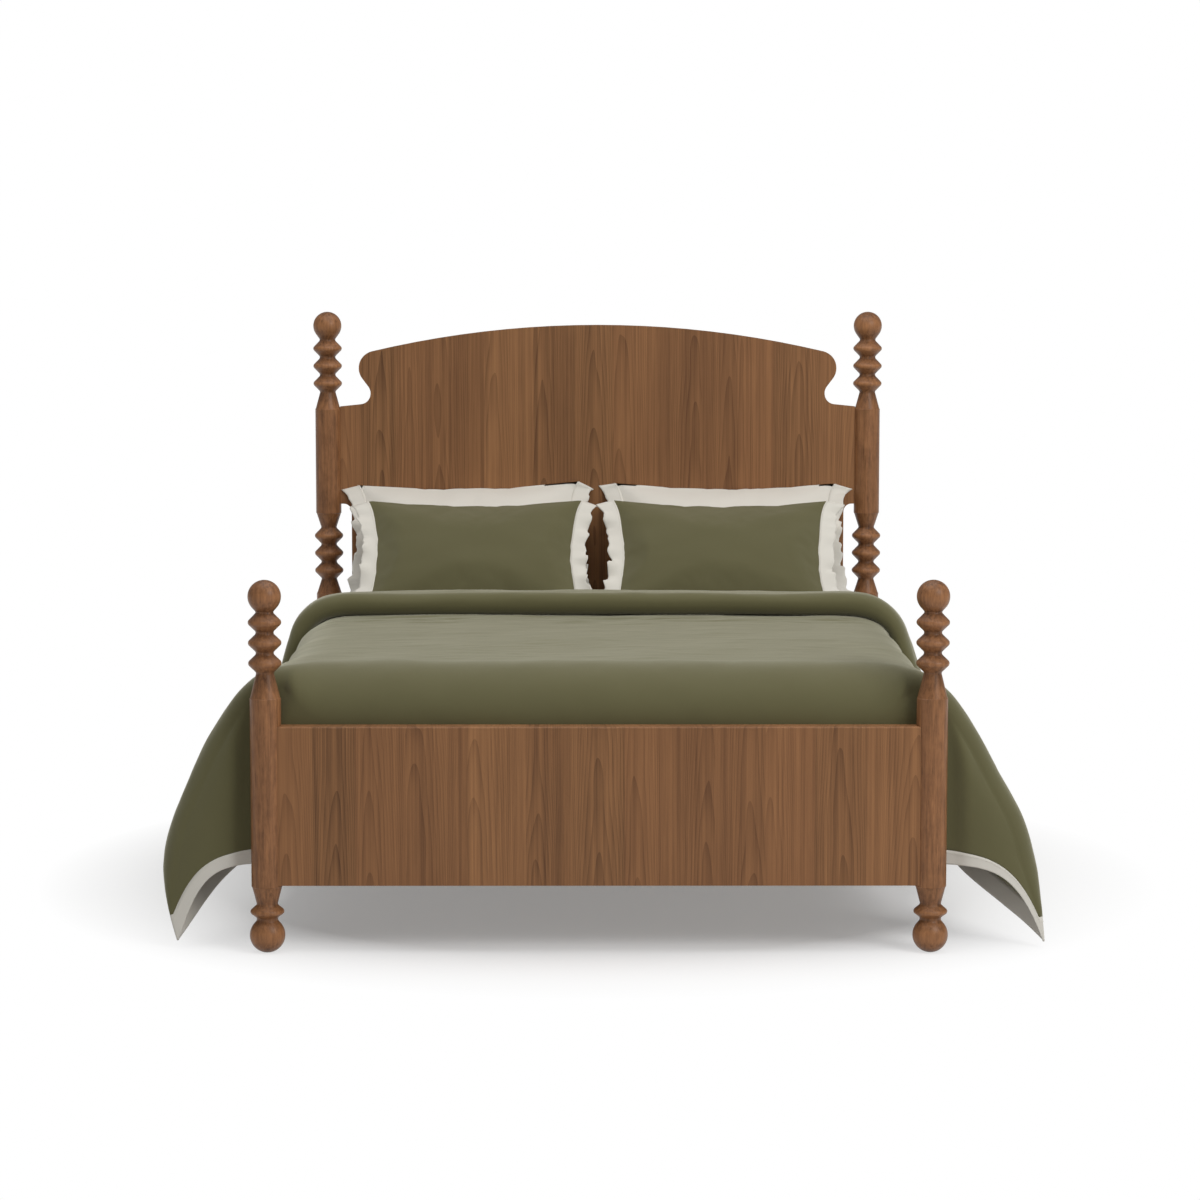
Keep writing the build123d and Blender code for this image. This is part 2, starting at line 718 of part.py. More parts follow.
def make_pillow(centre, width):
    """Crowned pillow whose edges draw in between its corners, with a flat flange at each side."""
    half = width / 2
    with BuildPart() as pillow:
        for station in pillow_stations:
            crown = sqrt(1 - (1 - pillow_side_crown**2) * station**pillow_crown_power)
            belly = pillow_seam / 2 + (pillow_thickness - pillow_seam) / 2 * crown
            reach = pillow_length / 2 - pillow_draw_in * (1 - station**2)
            station_centre = centre + Vector(station * half, 0, 0)
            with BuildSketch(Plane(origin=station_centre, x_dir=slope, z_dir=(1, 0, 0))):
                with BuildLine():
                    ThreePointArc((-reach, pillow_seam / 2), (0, belly), (reach, pillow_seam / 2))
                    Line((reach, pillow_seam / 2), (reach, -pillow_seam / 2))
                    ThreePointArc((reach, -pillow_seam / 2), (0, -belly), (-reach, -pillow_seam / 2))
                    Line((-reach, -pillow_seam / 2), (-reach, pillow_seam / 2))
                make_face()
        loft()
        with BuildSketch(Plane(origin=centre, x_dir=(1, 0, 0), z_dir=pillow_normal)):
            for edge in (-1, 1):
                with Locations((edge * (half + (flange_width - flange_root) / 2), 0)):
                    Rectangle(flange_width + flange_root, pillow_length)
        extrude(amount=flange_thickness / 2, both=True)
    return pillow.part


pillow_edge = Vector(0, pillow_seam / 2 * sin(recline), pillow_seam / 2 * cos(recline))
back_centre = Vector(
    0,
    head_face - pillow_gap - pillow_edge.Y - pillow_length / 2 * slope.Y,
    mattress_top + pillow_gap + pillow_edge.Z + pillow_length / 2 * slope.Z,
)
front_centre = back_centre - Vector(0, (pillow_thickness + pillow_gap) / sin(recline), 0)
for side, sign in sides.items():
    back_place = back_centre + Vector(sign * back_pillow_place, 0, 0)
    front_place = front_centre + Vector(sign * front_pillow_place, 0, 0)
    save(make_pillow(back_place, back_pillow_width), f"back_pillow_{side}")
    save(make_pillow(front_place, front_pillow_width), f"front_pillow_{side}")

# Duvet: an outer form along the bed, less the room inside it
cover_top = mattress_top + duvet_loft
cover_front = -post_y + post_radius + duvet_post_gap
tuck_front = foot_face + tuck_gap
rail_room_half_width = rail_outer + duvet_rail_gap
tips = {-1: tip_reach_left, 1: tip_reach_right}


def even_places(start, end, count):
    """Evenly spaced places along the bed."""
    return [start + (end - start) * index / (count - 1) for index in range(count)]


def corner_share(y):
    """One at the front corners, falling smoothly to zero along the sides."""
    share = max(0.0, 1 - (y - cover_front) / corner_run)
    return share * share * (3 - 2 * share)


def cover_top_at(y):
    """Height of the cover's crown along the bed, rounded over at the foot."""
    drop = max(0.0, tuck_front + duvet_front_round - y)
    return cover_top - duvet_front_round + sqrt(duvet_front_round**2 - drop**2)


def side_points(y, sign, top, spread, depth):
    """Hem, side, waist, shoulder and crown edge of one side, spread outwards, the hem lowered by depth."""
    share = corner_share(y)
    wave = duvet_wave * sin(2 * pi * (y - cover_front) / duvet_wave_pitch + sign) * (1 - share)
    hem_reach = duvet_hem_reach + wave + (tips[sign] - duvet_hem_reach) * share
    full_reach = duvet_hem_reach + wave / 2 + (corner_full_reach - duvet_hem_reach) * share
    waist_reach = duvet_waist_reach + wave / 4 + (corner_waist_reach - duvet_waist_reach) * share
    shoulder_reach = duvet_shoulder_reach + (corner_shoulder_reach - duvet_shoulder_reach) * share
    hem_height = duvet_hem_height + wave / 2 + (tip_height - duvet_hem_height) * share**tip_fall_power
    side_height = (hem_height + duvet_waist_height) / 2
    side_reach = (full_reach + (hem_reach + waist_reach) / 2) / 2 + duvet_side_bulge
    return [
        (sign * (hem_reach + spread), hem_height - depth),
        (sign * (side_reach + spread), side_height),
        (sign * (waist_reach + spread), duvet_waist_height),
        (sign * (shoulder_reach + duvet_shoulder_spread * spread), top - duvet_shoulder_drop),
        (sign * duvet_crown_half_width, top - duvet_crown),
    ]


def cover_section(y, top, spread, depth=0.0):
    """Closed cross-section of the cover on a plane across the bed."""
    left = side_points(y, -1, top, spread, depth)
    right = side_points(y, 1, top, spread, depth)
    with BuildSketch(turning_plane(0, y)) as section:
        with BuildLine():
            ThreePointArc(*left[:3])
            ThreePointArc(*left[2:])
            ThreePointArc(left[4], (0, top), right[4])
            ThreePointArc(*reversed(right[2:]))
            ThreePointArc(*reversed(right[:3]))
            Line(right[0], left[0])
        make_face()
    return section.sketch


cover_places = even_places(cover_front, turndown_back - turndown_lap, cover_stations)
cover_sections = [cover_section(y, cover_top_at(y), 0.0) for y in cover_places]
room_sections = [
    cover_section(y, mattress_top + duvet_rest_gap, -duvet_wall, room_depth) for y in cover_places
]
turndown_sections = [
    cover_section(y, cover_top + turndown_loft, turndown_spread)
    for y in even_places(turndown_front, turndown_back, turndown_stations)
]

with BuildPart() as turndown:
    loft(sections=turndown_sections)
    front_edges = turndown.faces().sort_by(Axis.Y)[0].edges().sort_by(Axis.Z)[1:]
    fillet(front_edges, turndown_round)

with BuildPart() as duvet_room:
    loft(sections=room_sections)
    split(bisect_by=Plane.XZ.offset(-(cover_front + duvet_wall)), keep=Keep.BOTTOM)
    extrude(duvet_room.faces().sort_by(Axis.Y)[-1], amount=2 * turndown_lap)

with BuildPart() as mattress_room:
    with BuildSketch(Plane.XY.offset(slat_top - duvet_rest_gap)):
        with Locations((0, mattress_front - duvet_rest_gap + mattress_length / 2)):
            RectangleRounded(mattress_width + 2 * duvet_rest_gap, mattress_length, mattress_corner_round)
    extrude(amount=mattress_thickness + 2 * duvet_rest_gap)
    fillet(mattress_room.faces().sort_by(Axis.Z)[-1].edges(), mattress_edge_round)

with BuildPart() as duvet:
    loft(sections=cover_sections)
    add(turndown.part)
    add(duvet_room.part, mode=Mode.SUBTRACT)
    with BuildSketch(turning_plane(0, cover_front - overrun)):
        Rectangle(2 * rail_room_half_width, 2 * (rail_top + duvet_rail_gap))
        for sign in sides.values():
            with BuildLine():
                tip = (sign * (tips[sign] - tip_width), tip_height - overrun)
                bend = (sign * (tips[sign] - corner_hem_bend_setback), corner_hem_bend_height)
                inner = (sign * corner_hem_reach, corner_hem_height)
                room_edge = sign * rail_room_half_width
                ThreePointArc(tip, bend, inner)
                Polyline(inner, (room_edge, corner_hem_height), (room_edge, 0), (tip[0], 0), tip)
            make_face()
    extrude(amount=-hem_cut_run, mode=Mode.SUBTRACT)
    with BuildSketch(turning_plane(0, cover_front)):
        Rectangle(2 * rail_room_half_width, 2 * (rail_top + duvet_rail_gap))
    extrude(amount=-(turndown_back + post_y), mode=Mode.SUBTRACT)
    with BuildSketch(Plane.XY.offset(tuck_bottom)):
        with Locations((0, (tuck_front + cover_front + duvet_wall) / 2)):
            Rectangle(2 * tuck_half_width, cover_front + duvet_wall - tuck_front)
    extrude(amount=mattress_top - tuck_drop - tuck_bottom)
    tuck_edge = duvet.edges().filter_by(Axis.X).group_by(Axis.Y)[0].sort_by(Axis.Z)[-1]
    fillet(tuck_edge, tuck_round)
    add(mattress_room.part, mode=Mode.SUBTRACT)
save(duvet.part, "duvet")
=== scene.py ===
"""Panel bed: finishes for the walnut and steel frame, and the mattress, pillows and duvet on it."""
import json
from math import cos, pi, radians, sin

import bpy
import numpy as np
from bpy.props import FloatProperty, FloatVectorProperty, IntProperty, PointerProperty
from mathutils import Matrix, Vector, noise


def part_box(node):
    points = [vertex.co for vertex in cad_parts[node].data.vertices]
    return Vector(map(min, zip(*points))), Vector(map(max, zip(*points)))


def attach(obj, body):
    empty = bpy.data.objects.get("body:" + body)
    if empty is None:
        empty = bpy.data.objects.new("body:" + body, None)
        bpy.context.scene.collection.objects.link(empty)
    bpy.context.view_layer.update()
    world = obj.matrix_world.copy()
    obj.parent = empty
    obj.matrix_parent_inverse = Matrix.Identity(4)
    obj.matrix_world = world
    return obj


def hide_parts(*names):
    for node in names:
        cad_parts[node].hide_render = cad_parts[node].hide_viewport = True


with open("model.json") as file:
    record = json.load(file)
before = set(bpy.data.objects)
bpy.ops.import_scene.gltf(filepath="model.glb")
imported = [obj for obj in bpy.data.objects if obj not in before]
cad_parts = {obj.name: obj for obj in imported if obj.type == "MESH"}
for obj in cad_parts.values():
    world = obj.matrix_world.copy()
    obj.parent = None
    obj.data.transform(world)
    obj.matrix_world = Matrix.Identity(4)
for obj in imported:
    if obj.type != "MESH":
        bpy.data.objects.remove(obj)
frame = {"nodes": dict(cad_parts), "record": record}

bl_info = {
    "name": "Panel bed",
    "version": (1, 0, 0),
    "blender": (4, 5, 0),
    "location": "3D view > Sidebar > Bed",
    "description": "Finishes the frame of a panel bed and makes up its bedding",
    "category": "Object",
}

# What the frame gives: boxes of its nodes, in metres
POST_LOW, POST_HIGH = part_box("front_leg_right")
POST_X = (POST_LOW.x + POST_HIGH.x) / 2
POST_Y = -(POST_LOW.y + POST_HIGH.y) / 2
POST_BACK = POST_HIGH.y
MATTRESS_LOW, MATTRESS_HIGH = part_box("mattress")
FOOTBOARD_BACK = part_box("footboard_panel")[1].y
HEADBOARD_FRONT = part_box("headboard_panel")[0].y
SLOTS = {part["node"]: part["material_slot"] for part in frame["record"]["subparts"]}


def colour_property(name, description, default):
    """A colour that a user may change, in linear light."""
    return FloatVectorProperty(
        name=name, description=description, default=default, size=3, min=0, max=1, subtype="COLOR"
    )


def length_property(name, description, default):
    """A length that a user may change, in metres."""
    return FloatProperty(
        name=name, description=description, default=default, min=0, subtype="DISTANCE", unit="LENGTH"
    )


def angle_property(name, description, degrees):
    """An angle that a user may change, written here in degrees."""
    return FloatProperty(name=name, description=description, default=radians(degrees), subtype="ANGLE")


class TimberSettings(bpy.types.PropertyGroup):
    """Colours and figure of the timber."""

    walnut_light: colour_property("Light walnut", "Early wood of the veneer", (0.386, 0.186, 0.077))
    walnut_dark: colour_property("Dark walnut", "Late wood and pores of the veneer", (0.082, 0.036, 0.015))
    turned_light: colour_property("Light turning", "Lightest tone of the turned posts", (0.408, 0.184, 0.076))
    turned_dark: colour_property("Dark turning", "Darkest tone of the turned posts", (0.072, 0.029, 0.012))
    softwood_light: colour_property("Light softwood", "Early wood of the slats", (0.66, 0.50, 0.32))
    softwood_dark: colour_property("Dark softwood", "Late wood of the slats", (0.50, 0.34, 0.19))
    leaf_width: length_property("Veneer leaf", "Mean width of a leaf of veneer", 0.125)


class BeddingSettings(bpy.types.PropertyGroup):
    """Sizes and colours of the mattress, pillows and duvet."""

    olive: colour_property("Olive", "Sateen of the duvet", (0.123, 0.113, 0.049))
    olive_pillow: colour_property("Olive pillow", "Sateen of the front pillows", (0.120, 0.110, 0.050))
    cream: colour_property("Cream", "Flanges and back pillows", (0.66, 0.615, 0.53))
    ticking: colour_property("Ticking", "Knitted cover of the mattress", (0.70, 0.68, 0.63))
    flange: length_property("Flange", "Width of the flat border round the bedding", 0.050)
    wrinkle: length_property("Wrinkles", "Height of the larger wrinkles on the duvet", 0.0055)
    fold: length_property("Side folds", "Swing of the folds where the duvet hangs", 0.016)
    recline: angle_property("Recline", "Lean of the pillows from flat", 47)
    stitch_pitch: length_property("Stitch pitch", "Distance from stitch to stitch on the seams", 0.0075)
    pillow_frames: IntProperty(
        name="Pillow steps", description="Steps that plump a pillow", default=18, min=1
    )


class StageSettings(bpy.types.PropertyGroup):
    """Camera and light."""

    lens: FloatProperty(name="Lens", description="Focal length in millimetres", default=106.1, min=1)
    camera_height: length_property("Camera height", "Height of the camera over the floor", 1.7627)
    camera_distance: length_property("Camera distance", "From the middle of the bed to the camera", 9.4515)
    camera_side: FloatProperty(
        name="Camera side", description="Camera's shift to the right", default=-0.0156, subtype="DISTANCE"
    )
    camera_pitch: angle_property("Pitch", "Tilt down", 6.165)
    camera_yaw: angle_property("Yaw", "Turn to the right", 0.124)
    sky: FloatProperty(name="Sky", description="Strength of the even light all round", default=0.32, min=0)
    key: FloatProperty(name="Key", description="Power of the lamp on the right, in watts", default=200, min=0)
    top: FloatProperty(name="Top", description="Power of the lamp overhead, in watts", default=105, min=0)


# Shader nodes


def shader_node(tree, kind, inputs=None, **options):
    """Add a node, set its options, then fill or link its inputs by name or number."""
    made = tree.nodes.new(kind)
    for option, value in options.items():
        setattr(made, option, value)
    for socket, value in (inputs or {}).items():
        if isinstance(value, bpy.types.NodeSocket):
            tree.links.new(value, made.inputs[socket])
        else:
            made.inputs[socket].default_value = value
    return made


def maths(tree, operation, *values):
    """Result of one sum on sockets or numbers."""
    return shader_node(tree, "ShaderNodeMath", dict(enumerate(values)), operation=operation).outputs[0]


def mixed(tree, share, first, second, blend="MIX"):
    """Mix of two colours by a share."""
    made = shader_node(tree, "ShaderNodeMix", data_type="RGBA", blend_type=blend)
    for index, value in ((0, share), (6, first), (7, second)):
        if isinstance(value, bpy.types.NodeSocket):
            tree.links.new(value, made.inputs[index])
        else:
            made.inputs[index].default_value = value
    return made.outputs[2]


def stretched(tree, vector, scale):
    """Coordinates scaled along each axis."""
    return shader_node(tree, "ShaderNodeMapping", {"Vector": vector, "Scale": scale}).outputs[0]


def mottle(tree, vector, scale, detail=3.0, roughness=0.55, distortion=0.0):
    """Soft noise from 0 to 1."""
    inputs = {
        "Vector": vector, "Scale": scale, "Detail": detail, "Roughness": roughness, "Distortion": distortion
    }
    return shader_node(tree, "ShaderNodeTexNoise", inputs).outputs[0]


def spread(tree, value, low, high, to_low=0.0, to_high=1.0):
    """Value moved from one range to another, held at its ends."""
    inputs = {"Value": value, "From Min": low, "From Max": high, "To Min": to_low, "To Max": to_high}
    return shader_node(tree, "ShaderNodeMapRange", inputs).outputs[0]


def weighed(tree, *layers):
    """Sum of values, each times its weight."""
    total = None
    for value, weight in layers:
        share = maths(tree, "MULTIPLY", value, weight)
        total = share if total is None else maths(tree, "ADD", total, share)
    return total


def opaque(colour):
    """Colour with full alpha."""
    return (*colour, 1.0)


def new_finish(name, **constants):
    """Material with one shader; the constants are set on its own sockets."""
    material = bpy.data.materials.new(name)
    material.use_nodes = True
    tree = material.node_tree
    tree.nodes.clear()
    shader = tree.nodes.new("ShaderNodeBsdfPrincipled")
    output = tree.nodes.new("ShaderNodeOutputMaterial")
    tree.links.new(shader.outputs[0], output.inputs[0])
    for socket, value in constants.items():
        shader.inputs[socket.replace("_", " ")].default_value = value
    return material, tree, shader


def raise_grain(tree, shader, height, distance, strength=1.0):
    """Bump from a height field."""
    inputs = {"Height": height, "Distance": distance, "Strength": strength}
    bump = shader_node(tree, "ShaderNodeBump", inputs)
    tree.links.new(bump.outputs[0], shader.inputs["Normal"])


AXES = {"X": 0, "Y": 1, "Z": 2}


def scales(across, along, across_scale, along_scale):
    """Scale vector with the grain long on one axis and fine on the others."""
    vector = [across_scale] * 3
    vector[AXES[along]] = along_scale
    vector[AXES[across]] = across_scale
    return vector


def veneer_finish(name, timber, across, along):
    """Walnut veneer in leaves side by side, each with its own tone and cathedral figure."""
    material, tree, shader = new_finish(name, Roughness=0.5, Specular_IOR_Level=0.25)
    place = shader_node(tree, "ShaderNodeTexCoord").outputs["Object"]
    parts = shader_node(tree, "ShaderNodeSeparateXYZ", {0: place}).outputs
    side = parts[AXES[across]]
    rise = parts[AXES[along]]
    drift = mottle(tree, stretched(tree, place, scales(across, along, 2.3, 0.0)), 1.0, 1.0)
    leaves = maths(tree, "DIVIDE", side, timber.leaf_width)
    leaves = maths(tree, "ADD", leaves, maths(tree, "MULTIPLY", drift, 1.3))
    leaf = maths(tree, "FLOOR", leaves)
    inside = maths(tree, "SUBTRACT", maths(tree, "FRACT", leaves), 0.5)
    chance = shader_node(tree, "ShaderNodeTexWhiteNoise", {"W": leaf}, noise_dimensions="1D").outputs["Color"]
    chances = shader_node(tree, "ShaderNodeSeparateColor", {0: chance}).outputs

    centre = maths(tree, "MULTIPLY", maths(tree, "SUBTRACT", chances[0], 0.5), 0.8)
    offset = maths(tree, "SUBTRACT", inside, centre)
    bow = maths(tree, "MULTIPLY", maths(tree, "MULTIPLY", offset, offset), 26.0)
    climb = maths(tree, "MULTIPLY", maths(tree, "ADD", rise, maths(tree, "MULTIPLY", chances[1], 9.0)), 4.2)
    slow = {0: maths(tree, "MULTIPLY", side, 9.0), 1: leaf, 2: maths(tree, "MULTIPLY", rise, 1.6)}
    leaf_place = shader_node(tree, "ShaderNodeCombineXYZ", slow).outputs[0]
    sway = maths(tree, "MULTIPLY", mottle(tree, leaf_place, 1.0, 2.0), 5.0)
    rings = maths(tree, "FRACT", maths(tree, "ADD", maths(tree, "ADD", bow, climb), sway))
    figure = maths(tree, "POWER", rings, 2.6)

    streaks = mottle(tree, stretched(tree, place, scales(across, along, 120.0, 0.9)), 1.0, 4.0, 0.6)
    fibres = mottle(tree, stretched(tree, place, scales(across, along, 430.0, 7.0)), 1.0, 3.0, 0.6)
    blots = mottle(tree, stretched(tree, place, scales(across, along, 14.0, 3.0)), 1.0, 3.0, 0.6)
    tone = weighed(
        tree,
        (spread(tree, streaks, 0.32, 0.68), 0.42),
        (figure, 0.32),
        (spread(tree, fibres, 0.30, 0.70), 0.20),
        (spread(tree, blots, 0.35, 0.70), 0.12),
        (maths(tree, "SUBTRACT", chances[2], 0.5), 0.24),
    )
    wood = mixed(tree, tone, opaque(timber.walnut_light), opaque(timber.walnut_dark))
    warm = mixed(tree, maths(tree, "MULTIPLY", chances[1], 0.35), wood, (0.330, 0.140, 0.060, 1.0))
    tree.links.new(warm, shader.inputs["Base Color"])
    raise_grain(tree, shader, fibres, 0.00025, 0.35)
    return material


# Radii of the posts between which painted shade darkens the grooves and a painted highlight lightens the
# ridges
GROOVE_SHADE_RADII = (0.022, 0.034)
RIDGE_HIGHLIGHT_RADII = (0.0382, 0.0415)


def turned_finish(name, timber):
    """Stained walnut turned from solid: blotchy along the post, with painted shade darkening the grooves and
    a painted highlight lightening the ridges.
    """
    material, tree, shader = new_finish(name, Roughness=0.40, Specular_IOR_Level=0.3)
    place = shader_node(tree, "ShaderNodeTexCoord").outputs["Object"]
    parts = shader_node(tree, "ShaderNodeSeparateXYZ", {0: place}).outputs
    beside = maths(tree, "SUBTRACT", maths(tree, "ABSOLUTE", parts[0]), POST_X)
    ahead = maths(tree, "SUBTRACT", maths(tree, "ABSOLUTE", parts[1]), POST_Y)
    squares = [maths(tree, "POWER", value, 2.0) for value in (beside, ahead)]
    radius = maths(tree, "SQRT", maths(tree, "ADD", *squares))
    streaks = mottle(tree, stretched(tree, place, (150.0, 150.0, 9.0)), 1.0, 4.0, 0.6, 0.4)
    pores = mottle(tree, stretched(tree, place, (900.0, 900.0, 60.0)), 1.0, 2.0, 0.6)
    blots = mottle(tree, stretched(tree, place, (45.0, 45.0, 28.0)), 1.0, 4.0, 0.65)
    tone = weighed(
        tree,
        (spread(tree, streaks, 0.30, 0.70), 0.50),
        (spread(tree, blots, 0.30, 0.70), 0.24),
        (spread(tree, pores, 0.45, 0.75), 0.20),
    )
    # Painted shade in the narrow grooves, then a painted highlight on the widest ridges of the beads
    tone = maths(tree, "ADD", tone, spread(tree, radius, *GROOVE_SHADE_RADII, 0.26, 0.0))
    tone = maths(tree, "SUBTRACT", tone, spread(tree, radius, *RIDGE_HIGHLIGHT_RADII, 0.0, 0.22))
    wood = mixed(tree, tone, opaque(timber.turned_light), opaque(timber.turned_dark))
    tree.links.new(wood, shader.inputs["Base Color"])
    raise_grain(tree, shader, pores, 0.0002, 0.3)
    return material


def softwood_finish(name, timber, along):
    """Planed pale softwood with growth rings along the piece."""
    material, tree, shader = new_finish(name, Roughness=0.7, Specular_IOR_Level=0.25)
    across = "Z" if along != "Z" else "X"
    place = shader_node(tree, "ShaderNodeTexCoord").outputs["Object"]
    bands = mottle(tree, stretched(tree, place, scales(across, along, 45.0, 1.1)), 1.0, 2.0, 0.5, 0.6)
    rings = maths(tree, "PINGPONG", maths(tree, "MULTIPLY", bands, 6.0), 1.0)
    fibres = mottle(tree, stretched(tree, place, scales(across, along, 500.0, 12.0)), 1.0, 3.0, 0.6)
    tone = maths(tree, "MULTIPLY_ADD", rings, 0.5, maths(tree, "MULTIPLY", fibres, 0.45))
    wood = mixed(tree, tone, opaque(timber.softwood_light), opaque(timber.softwood_dark))
    tree.links.new(wood, shader.inputs["Base Color"])
    raise_grain(tree, shader, fibres, 0.0003, 0.4)
    return material


def steel_finish(name, colour, metallic, roughness):
    """Pressed or plated steel with faint unevenness."""
    material, tree, shader = new_finish(name, Metallic=metallic)
    place = shader_node(tree, "ShaderNodeTexCoord").outputs["Object"]
    clouds = mottle(tree, place, 60.0, 4.0)
    peel = mottle(tree, place, 900.0, 2.0)
    darker = tuple(channel * 0.75 for channel in colour)
    tree.links.new(mixed(tree, clouds, opaque(colour), opaque(darker)), shader.inputs["Base Color"])
    uneven = spread(tree, clouds, 0.3, 0.7, roughness - 0.06, roughness + 0.08)
    tree.links.new(uneven, shader.inputs["Roughness"])
    raise_grain(tree, shader, peel, 0.0001, 0.25)
    return material


def cloth_finish(name, colour, thread, sheen):
    """Woven cotton: crossing threads on the piece's own UV map, slubs, and the bloom of fine fibres."""
    material, tree, shader = new_finish(
        name, Roughness=0.78, Specular_IOR_Level=0.2, Sheen_Weight=sheen, Sheen_Roughness=0.5,
        Sheen_Tint=(1.0, 0.98, 0.80, 1.0),
    )
    spot = shader_node(tree, "ShaderNodeTexCoord").outputs["UV"]
    parts = shader_node(tree, "ShaderNodeSeparateXYZ", {0: spot}).outputs
    warp = maths(tree, "SINE", maths(tree, "MULTIPLY", parts[0], 2 * pi / thread))
    weft = maths(tree, "SINE", maths(tree, "MULTIPLY", parts[1], 2 * pi / thread))
    weave = maths(tree, "MULTIPLY", warp, weft)
    slubs = mottle(tree, stretched(tree, spot, (40.0, 700.0, 1.0)), 1.0, 3.0, 0.6)
    cross = mottle(tree, stretched(tree, spot, (700.0, 40.0, 1.0)), 1.0, 3.0, 0.6)
    clouds = mottle(tree, spot, 5.0, 3.0)
    tone = maths(tree, "MULTIPLY", maths(tree, "ADD", slubs, cross), 0.30)
    tone = maths(tree, "ADD", tone, maths(tree, "MULTIPLY", clouds, 0.40))
    light = tuple(min(1.0, channel * 1.12) for channel in colour)
    dark = tuple(channel * 0.88 for channel in colour)
    tree.links.new(mixed(tree, tone, opaque(light), opaque(dark)), shader.inputs["Base Color"])
    height = maths(tree, "ADD", maths(tree, "MULTIPLY", weave, 0.35), maths(tree, "ADD", slubs, cross))
    raise_grain(tree, shader, height, thread * 0.25, 0.22)
    return material


def finish_of(name):
    """A finish that has been made already."""
    return bpy.data.materials[name]


# Meshes from grids of points


def grid_faces(rows, columns, start=0, flip=False, closed_rows=False):
    """Quads of a grid whose points are stored row by row."""
    faces = []
    for row in range(rows if closed_rows else rows - 1):
        above = (row + 1) % rows
        for column in range(columns - 1):
            face = (
                start + row * columns + column,
                start + row * columns + column + 1,
                start + above * columns + column + 1,
                start + above * columns + column,
            )
            faces.append(face[::-1] if flip else face)
    return faces


def grid_normals(points):
    """Unit normals of a grid of points, from its two directions."""
    along_rows = np.gradient(points, axis=0)
    along_columns = np.gradient(points, axis=1)
    normals = np.cross(along_columns, along_rows)
    return normals / np.maximum(np.linalg.norm(normals, axis=2, keepdims=True), 1e-12)


def travelled(points, axis):
    """Distance along each line of a grid, for the weave's own map."""
    steps = np.linalg.norm(np.diff(points, axis=axis), axis=2)
    start = np.zeros_like(np.take(steps, [0], axis=axis))
    return np.concatenate([start, np.cumsum(steps, axis=axis)], axis=axis)


def shell_mesh(outer, inner):
    """Closed shell between two grids: points, faces, and the grid place of each point."""
    rows, columns = outer.shape[:2]
    count = rows * columns
    points = np.concatenate([outer.reshape(-1, 3), inner.reshape(-1, 3)])
    faces = grid_faces(rows, columns) + grid_faces(rows, columns, count, flip=True)
    rim = [(0, column) for column in range(columns)]
    rim += [(row, columns - 1) for row in range(1, rows)]
    rim += [(rows - 1, column) for column in range(columns - 2, -1, -1)]
    rim += [(row, 0) for row in range(rows - 2, 0, -1)]
    for (row, column), (next_row, next_column) in zip(rim, rim[1:] + rim[:1]):
        here = row * columns + column
        there = next_row * columns + next_column
        faces.append((there, here, here + count, there + count))
    spots = np.stack([travelled(outer, 1), travelled(outer, 0)], axis=2).reshape(-1, 2)
    return points, faces, np.concatenate([spots, spots])


def new_piece(name, shells, smooth=True):
    """Mesh object from shells, each (points, faces, spots, material); spots become its UV map."""
    points, faces, spots, owners = [], [], [], []
    materials = []
    start = 0
    for shell_points, shell_faces, shell_spots, material in shells:
        if material not in materials:
            materials.append(material)
        points.append(shell_points)
        spots.append(shell_spots)
        faces += [tuple(index + start for index in face) for face in shell_faces]
        owners += [materials.index(material)] * len(shell_faces)
        start += len(shell_points)
    mesh = bpy.data.meshes.new(name)
    mesh.from_pydata(np.concatenate(points).tolist(), [], faces)
    for material in materials:
        mesh.materials.append(material)
    mesh.polygons.foreach_set("material_index", owners)
    mesh.polygons.foreach_set("use_smooth", [smooth] * len(faces))
    corners = np.zeros(len(mesh.loops), dtype=np.int32)
    mesh.loops.foreach_get("vertex_index", corners)
    uv = mesh.uv_layers.new(name="Weave")
    uv.data.foreach_set("uv", np.concatenate(spots)[corners].astype(np.float32).ravel())
    mesh.update()
    piece = bpy.data.objects.new(name, mesh)
    bpy.context.scene.collection.objects.link(piece)
    return piece


def ease(share):
    """Smooth step from 0 to 1."""
    share = np.clip(share, 0.0, 1.0)
    return share * share * (3 - 2 * share)


def spline_weights(count, places):
    """Weights that turn control points into points of a smooth curve through them."""
    weights = np.zeros((len(places), count))
    for row, place in enumerate(places):
        first = min(int(place), count - 2)
        t = place - first
        shares = (
            (-t + 2 * t**2 - t**3) / 2,
            (2 - 5 * t**2 + 3 * t**3) / 2,
            (t + 4 * t**2 - 3 * t**3) / 2,
            (t**3 - t**2) / 2,
        )
        for step, share in zip(range(-1, 3), shares):
            weights[row, min(max(first + step, 0), count - 1)] += share
    return weights


def rough(points, scale, seed, octaves=3):
    """Fractal noise about zero at each of a list of points."""
    shift = Vector((seed * 17.3, seed * 5.1, seed * 11.7))
    return np.array([noise.fractal(Vector(p) * scale + shift, 0.9, 2.0, octaves) for p in points])


# Geometry Nodes: small things repeated at points or along lines

LEDGERS = [node for node in frame["nodes"] if "ledger" in node]
SCREW_RADIUS = 0.0045
SCREW_HEIGHT = 0.0024
SCREW_CROWN = 0.62
SCREW_OFFSET = 0.019
STITCH_THICKNESS = 0.0011
STITCH_SHARE = 0.68


def repeating_tree(name, sizes):
    """Empty tree with named sizes and a material, and its input and output nodes."""
    tree = bpy.data.node_groups.new(name, "GeometryNodeTree")
    tree.is_modifier = True
    tree.interface.new_socket("Geometry", in_out="INPUT", socket_type="NodeSocketGeometry")
    for size in sizes:
        tree.interface.new_socket(size, in_out="INPUT", socket_type="NodeSocketFloat").subtype = "DISTANCE"
    tree.interface.new_socket("Material", in_out="INPUT", socket_type="NodeSocketMaterial")
    tree.interface.new_socket("Geometry", in_out="OUTPUT", socket_type="NodeSocketGeometry")
    return tree, shader_node(tree, "NodeGroupInput").outputs


